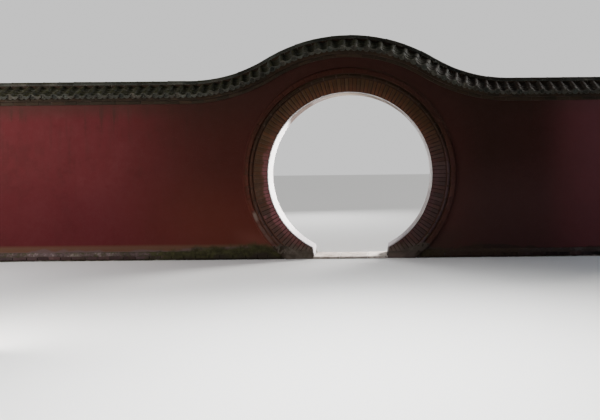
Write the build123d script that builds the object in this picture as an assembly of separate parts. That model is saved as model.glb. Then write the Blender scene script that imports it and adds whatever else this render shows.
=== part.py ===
from build123d import *
from math import asin, cos, degrees, radians, sin, sqrt, tan
import os

# Moon gate in a plastered garden wall. Sizes are in millimetres.
# X runs along the wall, to the right as seen from the front, -Y is the front and +Z is up.
# The origin is at ground level, under the middle of the opening, halfway through the wall.

# Opening: a circle whose lowest point is level with the threshold, with a doorway at its foot whose
# jambs lean in towards the ground, where its width is measured. The lean is in degrees from upright
OPENING_RADIUS = 1515
DOORWAY_WIDTH = 1330
JAMB_LEAN = 9
THRESHOLD_HEIGHT = 45
LINING_THICKNESS = 20

# Brick ring round the opening, and the two hood courses that run round the ring on both faces
RING_DEPTH = 255
RING_PROUD = 15
RING_TO_HOOD_GROOVE = 15
INNER_HOOD_WIDTH = 55
INNER_HOOD_PROUD = 30
HOOD_GROOVE = 22
OUTER_HOOD_WIDTH = 88
OUTER_HOOD_PROUD = 40

# Wall: level on both sides, with a hump over the gate that runs down into hollow arcs, the sweeps
WALL_LENGTH = 13400
WALL_THICKNESS = 500
WALL_HEIGHT = 2900
PLASTER_OVER_HOOD = 210
HUMP_RADIUS = 2650
SWEEP_RADIUS = 3200
GATE_SHOULDER = 130
FOOTING_HEIGHT = 140
FOOTING_PROUD = 40

# Coping: stepped brick courses, a mortar bed, a tiled slope on each side and a ridge
LOWER_CORBEL_HEIGHT = 65
UPPER_CORBEL_HEIGHT = 95
LOWER_CORBEL_STEP = 30
UPPER_CORBEL_STEP = 40
ROOF_SLOPE = 30
EAVE_OVERHANG = 70
TILE_LAYER_THICKNESS = 45
RIDGE_WIDTH = 140
RIDGE_COURSE_HEIGHT = 90
RIDGE_TILE_SIDES = 8

# Where the ring and the lining are divided, in degrees from the top, and the drop from the wall top
# to the foot of the wall piece over the crown
RING_CROWN_ANGLE = 30
RING_SHOULDER_ANGLE = 75
RING_SIDE_ANGLE = 120
RING_FOOT_ANGLE = 180
LINING_CROWN_ANGLE = 45
CROWN_WALL_DROP = 60

# Radii and heights that follow
CENTRE_HEIGHT = THRESHOLD_HEIGHT + OPENING_RADIUS
RING_INNER_RADIUS = OPENING_RADIUS + LINING_THICKNESS
RING_OUTER_RADIUS = RING_INNER_RADIUS + RING_DEPTH
INNER_HOOD_RADIUS = RING_OUTER_RADIUS + RING_TO_HOOD_GROOVE
OUTER_HOOD_RADIUS = INNER_HOOD_RADIUS + INNER_HOOD_WIDTH + HOOD_GROOVE
HOOD_OUTSIDE_RADIUS = OUTER_HOOD_RADIUS + OUTER_HOOD_WIDTH
HALF_LENGTH = WALL_LENGTH / 2
WALL_FACE = WALL_THICKNESS / 2

# The hump's top, and the arcs that touch each other and the level wall top
HUMP_TOP = CENTRE_HEIGHT + HOOD_OUTSIDE_RADIUS + PLASTER_OVER_HOOD
HUMP_CENTRE_HEIGHT = HUMP_TOP - HUMP_RADIUS
SWEEP_CENTRE_HEIGHT = WALL_HEIGHT + SWEEP_RADIUS
ARCS_REACH = HUMP_RADIUS + SWEEP_RADIUS
SWEEP_CENTRE_X = sqrt(ARCS_REACH ** 2 - (SWEEP_CENTRE_HEIGHT - HUMP_CENTRE_HEIGHT) ** 2)
HUMP_ANGLE = degrees(asin(SWEEP_CENTRE_X / ARCS_REACH))
GATE_HALF_WIDTH = SWEEP_CENTRE_X + GATE_SHOULDER

# Heights in the coping, above the wall top
CORBEL_TOP = LOWER_CORBEL_HEIGHT + UPPER_CORBEL_HEIGHT
LOWER_CORBEL_FACE = WALL_FACE + LOWER_CORBEL_STEP
CORBEL_FACE = LOWER_CORBEL_FACE + UPPER_CORBEL_STEP
RIDGE_BASE = CORBEL_TOP + (CORBEL_FACE - RIDGE_WIDTH / 2) * tan(radians(ROOF_SLOPE))


def prism(outline, front, back):
    """Solid with an (x, z) outline, between two planes square to Y."""
    return extrude(Plane.XZ.offset(-back) * outline, amount=back - front)


def rectangle(low_x, high_x, low_y, high_y):
    """Flat rectangle between its left and right sides and its foot and top."""
    centre = Pos((low_x + high_x) / 2, (low_y + high_y) / 2)
    return centre * Rectangle(high_x - low_x, high_y - low_y)


def disc(radius):
    """Full circle about the ring's centre."""
    return Pos(0, CENTRE_HEIGHT) * Circle(radius)


def wedge(start, end):
    """Triangle from the ring's centre between two angles, in degrees from its top."""
    reach = 2 * HOOD_OUTSIDE_RADIUS
    rim = [(reach * sin(radians(angle)), reach * cos(radians(angle))) for angle in (start, end)]
    return Pos(0, CENTRE_HEIGHT) * make_face(Polyline((0, 0), *rim, close=True))


def above(height):
    """Everything over a level line, wide enough for the whole ring."""
    reach = 2 * HOOD_OUTSIDE_RADIUS
    return rectangle(-reach, reach, height, CENTRE_HEIGHT + reach)


def right_half():
    """Everything to the right of the opening's middle."""
    reach = 2 * HOOD_OUTSIDE_RADIUS
    return rectangle(0, reach, -reach, CENTRE_HEIGHT + reach)


def below(height):
    """Everything under a level line, wide enough for the whole ring."""
    reach = 2 * HOOD_OUTSIDE_RADIUS
    return rectangle(-reach, reach, -reach, height)


def doorway_outline(spare):
    """The doorway from the ground to the height of the circle's centre, made wider on each side."""
    foot = DOORWAY_WIDTH / 2 + spare
    top = foot + CENTRE_HEIGHT * tan(radians(JAMB_LEAN))
    corners = [(-foot, 0), (foot, 0), (top, CENTRE_HEIGHT), (-top, CENTRE_HEIGHT)]
    return make_face(Polyline(*corners, close=True))


def doorway_top():
    """Height where the doorway's sides meet the ring's inner circle."""
    lean = tan(radians(JAMB_LEAN))
    foot = DOORWAY_WIDTH / 2 + LINING_THICKNESS
    square = 1 + lean ** 2
    half_linear = foot * lean - CENTRE_HEIGHT
    constant = foot ** 2 + CENTRE_HEIGHT ** 2 - RING_INNER_RADIUS ** 2
    return (-half_linear - sqrt(half_linear ** 2 - square * constant)) / square


def opening_outline(spare):
    """The circle with its doorway, made larger by the same amount all round."""
    return disc(OPENING_RADIUS + spare) + doorway_outline(spare)


def left_and_right(name, right):
    """A piece on the right of the opening and its mirror image on the left."""
    return {f"{name}_right": right, f"{name}_left": mirror(right, about=Plane.YZ)}


def front_and_back(name, front):
    """A piece on the front of the wall and its mirror image on the back."""
    return {f"{name}_front": front, f"{name}_back": mirror(front, about=Plane.XZ)}


def footings():
    """Stone footing course, cut at its end to the brick ring and the hood courses."""
    course = rectangle(0, HALF_LENGTH, 0, FOOTING_HEIGHT)
    core = prism(course - disc(RING_OUTER_RADIUS), -WALL_FACE, WALL_FACE)
    face = prism(course - disc(HOOD_OUTSIDE_RADIUS), -WALL_FACE - FOOTING_PROUD, -WALL_FACE)
    return left_and_right("footing", core + face + mirror(face, about=Plane.XZ))


def threshold():
    """Stone slab between the feet of the ring, under the jamb linings."""
    slab = doorway_outline(LINING_THICKNESS) & below(THRESHOLD_HEIGHT)
    return {"threshold": prism(slab, -WALL_FACE - FOOTING_PROUD, WALL_FACE + FOOTING_PROUD)}


def level_walls():
    """Level wall on each side of the gate."""
    outline = rectangle(GATE_HALF_WIDTH, HALF_LENGTH, FOOTING_HEIGHT, WALL_HEIGHT)
    return left_and_right("wall", prism(outline, -WALL_FACE, WALL_FACE))


def hump_outline():
    """Gate wall from the footing up to the hump, without the opening."""
    angle = radians(HUMP_ANGLE)
    join_x = HUMP_RADIUS * sin(angle)
    join_z = HUMP_CENTRE_HEIGHT + HUMP_RADIUS * cos(angle)
    middle_x = SWEEP_CENTRE_X - SWEEP_RADIUS * sin(angle / 2)
    middle_z = SWEEP_CENTRE_HEIGHT - SWEEP_RADIUS * cos(angle / 2)
    crown = ThreePointArc((-join_x, join_z), (0, HUMP_TOP), (join_x, join_z))
    right = ThreePointArc((join_x, join_z), (middle_x, middle_z), (SWEEP_CENTRE_X, WALL_HEIGHT))
    left = ThreePointArc((-join_x, join_z), (-middle_x, middle_z), (-SWEEP_CENTRE_X, WALL_HEIGHT))
    sides = Polyline(
        (SWEEP_CENTRE_X, WALL_HEIGHT),
        (GATE_HALF_WIDTH, WALL_HEIGHT),
        (GATE_HALF_WIDTH, FOOTING_HEIGHT),
        (-GATE_HALF_WIDTH, FOOTING_HEIGHT),
        (-GATE_HALF_WIDTH, WALL_HEIGHT),
        (-SWEEP_CENTRE_X, WALL_HEIGHT),
    )
    return make_face(Curve() + [crown, right, left, sides])


def gate_walls():
    """Wall round the brick ring: one piece on each side and one over the crown, up to the hump."""
    base = WALL_HEIGHT - CROWN_WALL_DROP
    outline = hump_outline() - disc(RING_OUTER_RADIUS)
    over = rectangle(-GATE_HALF_WIDTH, GATE_HALF_WIDTH, base, HUMP_TOP)
    beside = rectangle(0, GATE_HALF_WIDTH, FOOTING_HEIGHT, base)
    pieces = left_and_right("gate_wall", prism(outline & beside, -WALL_FACE, WALL_FACE))
    pieces["gate_wall_crown"] = prism(outline & over, -WALL_FACE, WALL_FACE)
    return pieces


def ring_piece(start, end):
    """Part of the brick ring, through the wall and a little proud of both faces."""
    ring = (disc(RING_OUTER_RADIUS) - opening_outline(LINING_THICKNESS)) & above(0)
    return prism(ring & wedge(start, end), -WALL_FACE - RING_PROUD, WALL_FACE + RING_PROUD)


def brick_ring():
    """Ring of bricks set on end round the opening, down to the ground beside the doorway."""
    pieces = {"ring_crown": ring_piece(-RING_CROWN_ANGLE, RING_CROWN_ANGLE)}
    pieces |= left_and_right("ring_shoulder", ring_piece(RING_CROWN_ANGLE, RING_SHOULDER_ANGLE))
    pieces |= left_and_right("ring_side", ring_piece(RING_SHOULDER_ANGLE, RING_SIDE_ANGLE))
    pieces |= left_and_right("ring_foot", ring_piece(RING_SIDE_ANGLE, RING_FOOT_ANGLE))
    return pieces


def hood(name, inner_radius, width, proud):
    """Thin course round the ring on the front face, and the same on the back."""
    outline = (disc(inner_radius + width) - disc(inner_radius)) & above(0)
    return front_and_back(name, prism(outline, -WALL_FACE - proud, -WALL_FACE))


def hood_courses():
    """Two hood courses with a groove between them."""
    inner = hood("hood_inner", INNER_HOOD_RADIUS, INNER_HOOD_WIDTH, INNER_HOOD_PROUD)
    outer = hood("hood_outer", OUTER_HOOD_RADIUS, OUTER_HOOD_WIDTH, OUTER_HOOD_PROUD)
    return inner | outer


def linings():
    """Plaster lining of the opening: the crown, the sides and the jambs of the doorway."""
    lining = (opening_outline(LINING_THICKNESS) - opening_outline(0)) & above(THRESHOLD_HEIGHT)
    crown = wedge(-LINING_CROWN_ANGLE, LINING_CROWN_ANGLE)
    side = (lining - crown) & right_half() & above(doorway_top())
    jamb = lining & right_half() & below(doorway_top())
    pieces = {"lining_crown": prism(lining & crown, -WALL_FACE, WALL_FACE)}
    pieces |= left_and_right("lining_side", prism(side, -WALL_FACE, WALL_FACE))
    pieces |= left_and_right("lining_jamb", prism(jamb, -WALL_FACE, WALL_FACE))
    return pieces


def section_plane(x, z):
    """Plane across the wall: its x is the part's Y and its y is up."""
    return Plane(origin=(x, 0, z), x_dir=(0, 1, 0), z_dir=(1, 0, 0))


def run_over_wall(name, section):
    """A coping section, drawn over the wall top, run along both level walls and over the hump."""
    level = extrude(section_plane(GATE_HALF_WIDTH, WALL_HEIGHT) * section, HALF_LENGTH - GATE_HALF_WIDTH)
    shoulder = extrude(section_plane(SWEEP_CENTRE_X, WALL_HEIGHT) * section, GATE_SHOULDER)
    sweep_axis = Axis((SWEEP_CENTRE_X, 0, SWEEP_CENTRE_HEIGHT), (0, 1, 0))
    sweep = revolve(section_plane(SWEEP_CENTRE_X, WALL_HEIGHT) * section, sweep_axis, HUMP_ANGLE)
    crown_axis = Axis((0, 0, HUMP_CENTRE_HEIGHT), (0, 1, 0))
    crown = revolve(section_plane(0, HUMP_TOP) * section, crown_axis, HUMP_ANGLE)
    half = crown + sweep + shoulder
    return left_and_right(name, level) | {f"{name}_hump": half + mirror(half, about=Plane.YZ)}


def corbels():
    """Two brick courses under the eaves, the upper one further out."""
    lower = rectangle(-LOWER_CORBEL_FACE, LOWER_CORBEL_FACE, 0, LOWER_CORBEL_HEIGHT)
    upper = rectangle(-CORBEL_FACE, CORBEL_FACE, LOWER_CORBEL_HEIGHT, CORBEL_TOP)
    return run_over_wall("corbel_lower", lower) | run_over_wall("corbel_upper", upper)


def roof_bed():
    """Mortar bed between the top corbel and the ridge, under both slopes."""
    corners = [
        (-CORBEL_FACE, CORBEL_TOP),
        (CORBEL_FACE, CORBEL_TOP),
        (RIDGE_WIDTH / 2, RIDGE_BASE),
        (-RIDGE_WIDTH / 2, RIDGE_BASE),
    ]
    return run_over_wall("roof_bed", make_face(Polyline(*corners, close=True)))


def tile_layer():
    """Layer of tiles on the front slope, from under the ridge to the eave, and its twin behind."""
    eave_y = -CORBEL_FACE - EAVE_OVERHANG
    eave_base = CORBEL_TOP - EAVE_OVERHANG * tan(radians(ROOF_SLOPE))
    plumb_thickness = TILE_LAYER_THICKNESS / cos(radians(ROOF_SLOPE))
    corners = [
        (eave_y, eave_base),
        (-RIDGE_WIDTH / 2, RIDGE_BASE),
        (-RIDGE_WIDTH / 2, RIDGE_BASE + plumb_thickness),
        (eave_y, eave_base + plumb_thickness),
    ]
    pieces = {}
    for name, front in run_over_wall("tiles", make_face(Polyline(*corners, close=True))).items():
        pieces |= front_and_back(name, front)
    return pieces


def ridge():
    """Ridge: a brick course on the bed, with a many-sided tile on top."""
    half_width = RIDGE_WIDTH / 2
    course_top = RIDGE_BASE + RIDGE_COURSE_HEIGHT
    course = rectangle(-half_width, half_width, RIDGE_BASE, course_top)
    whole_tile = Pos(0, course_top) * RegularPolygon(half_width, RIDGE_TILE_SIDES, major_radius=False)
    upper_half = rectangle(-half_width, half_width, course_top, course_top + half_width)
    return run_over_wall("ridge", course + (whole_tile & upper_half))


def moon_gate():
    """Every piece by name."""
    masonry = footings() | threshold() | level_walls() | gate_walls()
    opening = brick_ring() | hood_courses() | linings()
    coping = corbels() | roof_bed() | tile_layer() | ridge()
    return masonry | opening | coping


os.makedirs("parts", exist_ok=True)
for node, piece in moon_gate().items():
    export_step(piece, f"parts/{node}.step")
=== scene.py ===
import math

import bmesh
import bpy
import numpy as np
from mathutils import Matrix, Vector, noise


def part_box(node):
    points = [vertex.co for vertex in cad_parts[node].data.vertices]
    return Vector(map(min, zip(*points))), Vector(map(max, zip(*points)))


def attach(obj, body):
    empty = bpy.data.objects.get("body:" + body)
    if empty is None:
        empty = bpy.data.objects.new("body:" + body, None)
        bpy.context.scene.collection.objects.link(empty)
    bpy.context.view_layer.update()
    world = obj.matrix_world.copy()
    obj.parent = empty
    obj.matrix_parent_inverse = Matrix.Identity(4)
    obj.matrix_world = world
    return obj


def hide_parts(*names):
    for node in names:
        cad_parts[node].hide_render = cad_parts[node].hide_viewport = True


# Looks of a moon gate in a plastered garden wall. Sizes are in metres and angles in degrees.
# X runs along the wall, -Y is the front and +Z is up, as in the frame.
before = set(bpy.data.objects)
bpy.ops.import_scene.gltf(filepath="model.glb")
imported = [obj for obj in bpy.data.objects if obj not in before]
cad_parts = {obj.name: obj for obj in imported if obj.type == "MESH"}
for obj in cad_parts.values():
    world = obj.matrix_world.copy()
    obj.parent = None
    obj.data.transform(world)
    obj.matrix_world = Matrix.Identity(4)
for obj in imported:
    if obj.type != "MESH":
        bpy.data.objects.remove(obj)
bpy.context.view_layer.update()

# Sizes read from the frame
WALL_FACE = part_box("wall_right")[1].y
WALL_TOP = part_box("wall_right")[1].z
FOOTING_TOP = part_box("wall_right")[0].z
GATE_HALF_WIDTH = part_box("wall_right")[0].x
HALF_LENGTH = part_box("wall_right")[1].x
HUMP_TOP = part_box("gate_wall_crown")[1].z
CROWN_WALL_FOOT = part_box("gate_wall_crown")[0].z
FOOTING_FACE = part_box("footing_right")[1].y
RING_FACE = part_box("ring_crown")[1].y
INNER_HOOD_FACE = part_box("hood_inner_back")[1].y
OUTER_HOOD_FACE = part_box("hood_outer_back")[1].y
THRESHOLD_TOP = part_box("threshold")[1].z
LOWER_CORBEL_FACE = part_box("corbel_lower_right")[1].y
UPPER_CORBEL_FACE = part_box("corbel_upper_right")[1].y
LOWER_CORBEL_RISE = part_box("corbel_lower_right")[1].z - WALL_TOP
UPPER_CORBEL_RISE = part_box("corbel_upper_right")[1].z - WALL_TOP
EAVE_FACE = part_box("tiles_right_back")[1].y
EAVE_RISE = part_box("tiles_right_back")[0].z - WALL_TOP
RIDGE_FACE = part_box("ridge_right")[1].y
RIDGE_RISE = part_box("ridge_right")[0].z - WALL_TOP
RIDGE_TOP_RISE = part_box("ridge_right")[1].z - WALL_TOP

# Opening, ring and hood courses
CENTRE_HEIGHT = 1.56
OPENING_RADIUS = 1.515
DOORWAY_HALF_WIDTH = 0.665
JAMB_LEAN = math.tan(math.radians(9))
LINING = 0.02
RING_INNER = OPENING_RADIUS + LINING
RING_OUTER = 1.79
INNER_HOOD = (1.805, 1.86)
OUTER_HOOD = (1.882, 1.97)
RING_BRICK_ANGLE = 2.5
RING_END_ANGLE = 156.3
HOOD_BRICK_LENGTH = 0.24

# Arcs of the wall top: the hump's crown and the two sweeps that run down to the level wall
HUMP_RADIUS = 2.65
SWEEP_RADIUS = 3.2
CROWN_CENTRE_HEIGHT = HUMP_TOP - HUMP_RADIUS
SWEEP_CENTRE_HEIGHT = WALL_TOP + SWEEP_RADIUS
SWEEP_CENTRE_X = math.sqrt(
    (HUMP_RADIUS + SWEEP_RADIUS) ** 2 - (SWEEP_CENTRE_HEIGHT - CROWN_CENTRE_HEIGHT) ** 2
)
HUMP_ANGLE = math.asin(SWEEP_CENTRE_X / (HUMP_RADIUS + SWEEP_RADIUS))
CROWN_RUN = HUMP_RADIUS * HUMP_ANGLE
SWEEP_RUN = CROWN_RUN + SWEEP_RADIUS * HUMP_ANGLE
GATE_RUN = SWEEP_RUN + GATE_HALF_WIDTH - SWEEP_CENTRE_X
END_RUN = SWEEP_RUN + HALF_LENGTH - SWEEP_CENTRE_X

# Coping
ROOF_SLOPE = math.radians(30)
SLOPE_LENGTH = (EAVE_FACE - RIDGE_FACE) / math.cos(ROOF_SLOPE)
COPING_STEP = 0.08
CORBEL_BRICK_LENGTH = 0.24
TILE_ROW_PITCH = 0.21
COVER_TILE_RADIUS = 0.052
COVER_TILE_THICKNESS = 0.013
COVER_TILE_LIFT = 0.022
EAVE_INSET = 0.03
PAN_TILE_GAP = 0.03
PAN_TILE_COURSES = 4
PAN_TILE_LAP = 0.02
PAN_TILE_LIFT = 0.012
PAN_TILE_SAG = 0.028
PAN_TILE_THICKNESS = 0.011
RIDGE_TILE_LENGTH = 0.3
RIDGE_TILE_THICKNESS = 0.014

# Bricks, joints and the foot of the wall
BRICK_THICKNESS = 0.115
JOINT = 0.009
THIN_JOINT = 0.006
CORBEL_JOINT = 0.007
MORTAR_SET_BACK = 0.006
FOOT_RENDER_TOP = 0.27
KERB_HEIGHT = 0.018
KERB_LENGTHS = (0.45, 0.8)
FOOT_ROW_TOP = 0.095
FOOT_ROW_DEPTH = 0.2
FOOT_ROW_WEAR = 0.008
FOOT_BRICK_LENGTHS = (0.19, 0.26)
SHARP_ANGLE = 60
NOISE_SEED = 1
TINY = 1e-9

# Faces of the wall with their side on Y, and sides of the gate with theirs on X
FACES = (("front", -1), ("back", 1))
SIDES = (("right", 1), ("left", -1))


# Camera, lights and floor

# The photograph's frame, its perspective centre and the camera's focal length, in pixels
PHOTO_SIZE = (600, 420)
PERSPECTIVE_CENTRE = (387, 158)
FOCAL_LENGTH = 640
SENSOR_WIDTH = 36.0
CAMERA_PLACE = (0.693, -12.15, 1.857)
CAMERA_ROLL = -0.6
SURROUNDINGS_LIGHT = 0.15
BACKDROP_BRIGHTNESS = 1.0
DAYLIGHT_STRENGTH = 3.2
DAYLIGHT_SOFTNESS = 25
DAYLIGHT_WAY = (-0.62, -0.6, -0.5)
FLOOR_REACH = 60.0
FLOOR_DROP = 0.002

# Soft lamps: name, place, what each is turned to, its width, power, colour and spread
SOFT_LAMPS = (
    ("key", (-8.8, -4.6, 3.4), (-5.2, 0.0, 1.5), 3.5, 430.0, (1.0, 0.97, 0.97), 180),
    ("low fill", (-3.8, -5.6, 0.9), (-1.6, 0.0, 0.5), 2.0, 62.0, (1.0, 0.96, 0.92), 180),
    ("right fill", (7.8, -3.6, 2.8), (6.0, 0.0, 1.6), 2.5, 32.0, (0.78, 0.9, 1.08), 120),
    ("floor light", (0.5, -7.0, 7.0), (0.5, -7.0, 0.0), 7.0, 420.0, (1.0, 1.0, 1.0), 60),
    ("back fill", (-2.0, 9.0, 5.0), (0.0, 0.0, 1.6), 5.0, 500.0, (1.0, 1.0, 1.0), 180),
    ("behind", (3.4, 3.0, 2.2), (-1.6, 0.0, 1.2), 2.0, 2200.0, (1.0, 0.99, 0.98), 180),
)

# What the lamp behind lights: the lining and the threshold
OPENING_PIECES = bpy.data.collections.new("round the opening")
OPENING_SLOTS = ("lining_plaster", "threshold_stone")


def make_camera():
    """Camera square to the wall, shifted as the photograph is framed."""
    data = bpy.data.cameras.new("camera")
    data.sensor_width = SENSOR_WIDTH
    data.lens = SENSOR_WIDTH * FOCAL_LENGTH / PHOTO_SIZE[0]
    data.shift_x = (PHOTO_SIZE[0] / 2 - PERSPECTIVE_CENTRE[0]) / PHOTO_SIZE[0]
    data.shift_y = (PERSPECTIVE_CENTRE[1] - PHOTO_SIZE[1] / 2) / PHOTO_SIZE[0]
    camera = bpy.data.objects.new("camera", data)
    bpy.context.scene.collection.objects.link(camera)
    upright = Matrix.Rotation(math.radians(90), 4, "X")
    roll = Matrix.Rotation(math.radians(CAMERA_ROLL), 4, "Z")
    camera.matrix_world = Matrix.Translation(CAMERA_PLACE) @ upright @ roll
    bpy.context.scene.camera = camera


def soft_light(name, place, aim, size, power, colour, spread):
    """Large soft lamp at a place, turned to what it lights."""
    data = bpy.data.lights.new(name, "AREA")
    data.shape = "DISK"
    data.size = size
    data.energy = power
    data.color = colour
    data.spread = math.radians(spread)
    lamp = bpy.data.objects.new(name, data)
    bpy.context.scene.collection.objects.link(lamp)
    lamp.location = place
    lamp.visible_camera = False
    lamp.rotation_euler = (Vector(aim) - Vector(place)).to_track_quat("-Z", "Y").to_euler()
    return lamp


def daylight():
    """Soft daylight from behind the gate."""
    data = bpy.data.lights.new("daylight behind", "SUN")
    data.energy = DAYLIGHT_STRENGTH
    data.angle = math.radians(DAYLIGHT_SOFTNESS)
    data.color = (1.0, 0.98, 0.95)
    sun = bpy.data.objects.new("daylight behind", data)
    bpy.context.scene.collection.objects.link(sun)
    sun.rotation_euler = Vector(DAYLIGHT_WAY).to_track_quat("-Z", "Y").to_euler()


def make_lights():
    """A soft key from the left, low fills, a lamp on the lining, and daylight through the opening."""
    for name, *settings in SOFT_LAMPS:
        lamp = soft_light(name, *settings)
        if name == "behind":
            lamp.light_linking.receiver_collection = OPENING_PIECES
    daylight()


def make_surroundings():
    """Pale surroundings, which the camera sees brighter than they light."""
    world = bpy.data.worlds.new("pale surroundings")
    world.use_nodes = True
    tree = world.node_tree
    tree.nodes.clear()
    dim = {"Color": rgb(0.82, 0.88, 0.96), "Strength": SURROUNDINGS_LIGHT}
    pale = {"Color": rgb(0.9, 0.9, 0.9), "Strength": BACKDROP_BRIGHTNESS}
    lit, seen = (add(tree, "ShaderNodeBackground", look).outputs[0] for look in (dim, pale))
    camera_ray = add(tree, "ShaderNodeLightPath").outputs["Is Camera Ray"]
    both = add(tree, "ShaderNodeMixShader", {0: camera_ray, 1: lit, 2: seen})
    add(tree, "ShaderNodeOutputWorld", {"Surface": both.outputs[0]})
    bpy.context.scene.world = world


# Node trees

def rgb(red, green, blue):
    """Colour with full alpha."""
    return (red, green, blue, 1.0)


def add(tree, kind, inputs=None, **settings):
    """New node with its settings, and its inputs set or linked."""
    made = tree.nodes.new(kind)
    for key, value in settings.items():
        setattr(made, key, value)
    for key, value in (inputs or {}).items():
        if isinstance(value, bpy.types.NodeSocket):
            tree.links.new(value, made.inputs[key])
        else:
            made.inputs[key].default_value = value
    return made


def math_node(tree, operation, first, second=0.0, clamp=False):
    """Result of a sum on one or two values."""
    return add(tree, "ShaderNodeMath", {0: first, 1: second}, operation=operation, use_clamp=clamp).outputs[0]


def product(tree, first, *others):
    """Values multiplied together."""
    for value in others:
        first = math_node(tree, "MULTIPLY", first, value)
    return first


def total(tree, first, *others):
    """Values added up."""
    for value in others:
        first = math_node(tree, "ADD", first, value)
    return first


def less(tree, first, second):
    """First value less the second."""
    return math_node(tree, "SUBTRACT", first, second)


def between(tree, value, low, high, to_low=0.0, to_high=1.0):
    """Smooth step of a value from low to high."""
    inputs = {"Value": value, "From Min": low, "From Max": high, "To Min": to_low, "To Max": to_high}
    return add(tree, "ShaderNodeMapRange", inputs, interpolation_type="SMOOTHSTEP").outputs["Result"]


def mix(tree, share, first, second, blend="MIX"):
    """Mix of two colours."""
    inputs = {"Factor": share, 6: first, 7: second}
    return add(tree, "ShaderNodeMix", inputs, data_type="RGBA", blend_type=blend).outputs[2]


def noise_value(tree, where, size, detail=3.0, roughness=0.55):
    """Noise from 0 to 1 whose lumps have a size in metres."""
    inputs = {"Vector": where, "Scale": 1.0 / size, "Detail": detail, "Roughness": roughness}
    return add(tree, "ShaderNodeTexNoise", inputs).outputs["Fac"]


def place_on_wall(tree, stretch=(1.0, 1.0, 1.0)):
    """Place in the row frame, in metres, stretched along each axis."""
    where = add(tree, "ShaderNodeTexCoord").outputs["Object"]
    return add(tree, "ShaderNodeMapping", {"Vector": where, "Scale": stretch}).outputs["Vector"]


def in_sizes(tree, where, size):
    """Place measured in sizes that a group is given."""
    scale = math_node(tree, "DIVIDE", 1.0, size)
    return add(tree, "ShaderNodeVectorMath", {0: where, "Scale": scale}, operation="SCALE").outputs[0]


def split(tree, vector):
    """A vector's three values."""
    return add(tree, "ShaderNodeSeparateXYZ", {0: vector}).outputs


def normal_of(tree):
    """Which way the surface faces."""
    return add(tree, "ShaderNodeNewGeometry").outputs["Normal"]


def shaded_place(tree):
    """Place across the wall and height, for what differs left and right, painted shade among it: the back is
    all like the left.
    """
    x, y, height = split(tree, place_on_wall(tree))
    behind = math_node(tree, "GREATER_THAN", y, 0.0)
    right = product(tree, behind, math_node(tree, "MAXIMUM", x, 0.0))
    return less(tree, x, product(tree, right, 2.0)), height


def attribute(tree, name):
    """Value that the mesh carries under a name, or 0 where it carries none."""
    return add(tree, "ShaderNodeAttribute", attribute_name=name).outputs["Fac"]


def new_group(name, inputs, outputs):
    """Node group with named sockets, and its input and output nodes."""
    group = bpy.data.node_groups.new(name, "ShaderNodeTree")
    for label, value in inputs.items():
        kind = "NodeSocketFloat" if isinstance(value, float) else "NodeSocketColor"
        group.interface.new_socket(label, in_out="INPUT", socket_type=kind).default_value = value
    for label, kind in outputs.items():
        group.interface.new_socket(label, in_out="OUTPUT", socket_type=kind)
    return group, group.nodes.new("NodeGroupInput").outputs, group.nodes.new("NodeGroupOutput").inputs


def use(tree, group, inputs):
    """A group placed in a material, with its own values."""
    return add(tree, "ShaderNodeGroup", inputs, node_tree=group).outputs


# Colours that groups and several materials share
WHITE = rgb(1.0, 1.0, 1.0)
DARK_MOSS = rgb(0.022, 0.0205, 0.0090)
PALE_MOSS = rgb(0.042, 0.0410, 0.0165)
GROUND_BAND = rgb(0.026, 0.0200, 0.0140)
BROWN_MOSS = rgb(0.042, 0.0225, 0.0185)
DARK_MUD = rgb(0.058, 0.046, 0.035)
PALE_MUD = rgb(0.110, 0.088, 0.070)
RIGHT_MUD = rgb(0.150, 0.104, 0.090)
DULL_MUD = rgb(0.060, 0.045, 0.038)
RED_WASH = rgb(0.080, 0.0215, 0.0145)
MAUVE_WASH = rgb(0.185, 0.068, 0.074)
COOL_BRICK = rgb(0.060, 0.036, 0.039)
PINKISH_BRICK = rgb(0.092, 0.056, 0.056)
SPOTTED_BRICK = rgb(0.052, 0.043, 0.020)
BARE_BRICK = rgb(0.16, 0.115, 0.095)


def patches_group():
    """Three colours in uneven patches, with a fine mottle over them."""
    inputs = {"Main": WHITE, "Faded": WHITE, "Dark": WHITE, "Size": 0.5}
    group, given, result = new_group("Uneven patches", inputs, {"Colour": "NodeSocketColor"})
    where = in_sizes(group, place_on_wall(group), given["Size"])
    broad = noise_value(group, where, 1.0, 5.0, 0.6)
    fine = noise_value(group, where, 0.13, 4.0, 0.65)
    share = total(group, product(group, broad, 0.7), product(group, fine, 0.3))
    faded = mix(group, between(group, share, 0.5, 0.62), given["Main"], given["Faded"])
    colour = mix(group, between(group, share, 0.48, 0.37), faded, given["Dark"])
    group.links.new(colour, result["Colour"])
    return group


def streaks_group():
    """Upright streaks that rain leaves on a wall."""
    inputs = {"Width": 0.12, "Amount": 0.5}
    group, given, result = new_group("Rain streaks", inputs, {"Mask": "NodeSocketFloat"})
    where = in_sizes(group, place_on_wall(group, (1.0, 1.0, 0.07)), given["Width"])
    runs = between(group, noise_value(group, where, 1.0, 4.0, 0.6), 0.47, 0.68)
    breaks = between(group, noise_value(group, place_on_wall(group), 0.6), 0.35, 0.62)
    group.links.new(product(group, runs, breaks, given["Amount"]), result["Mask"])
    return group


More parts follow.
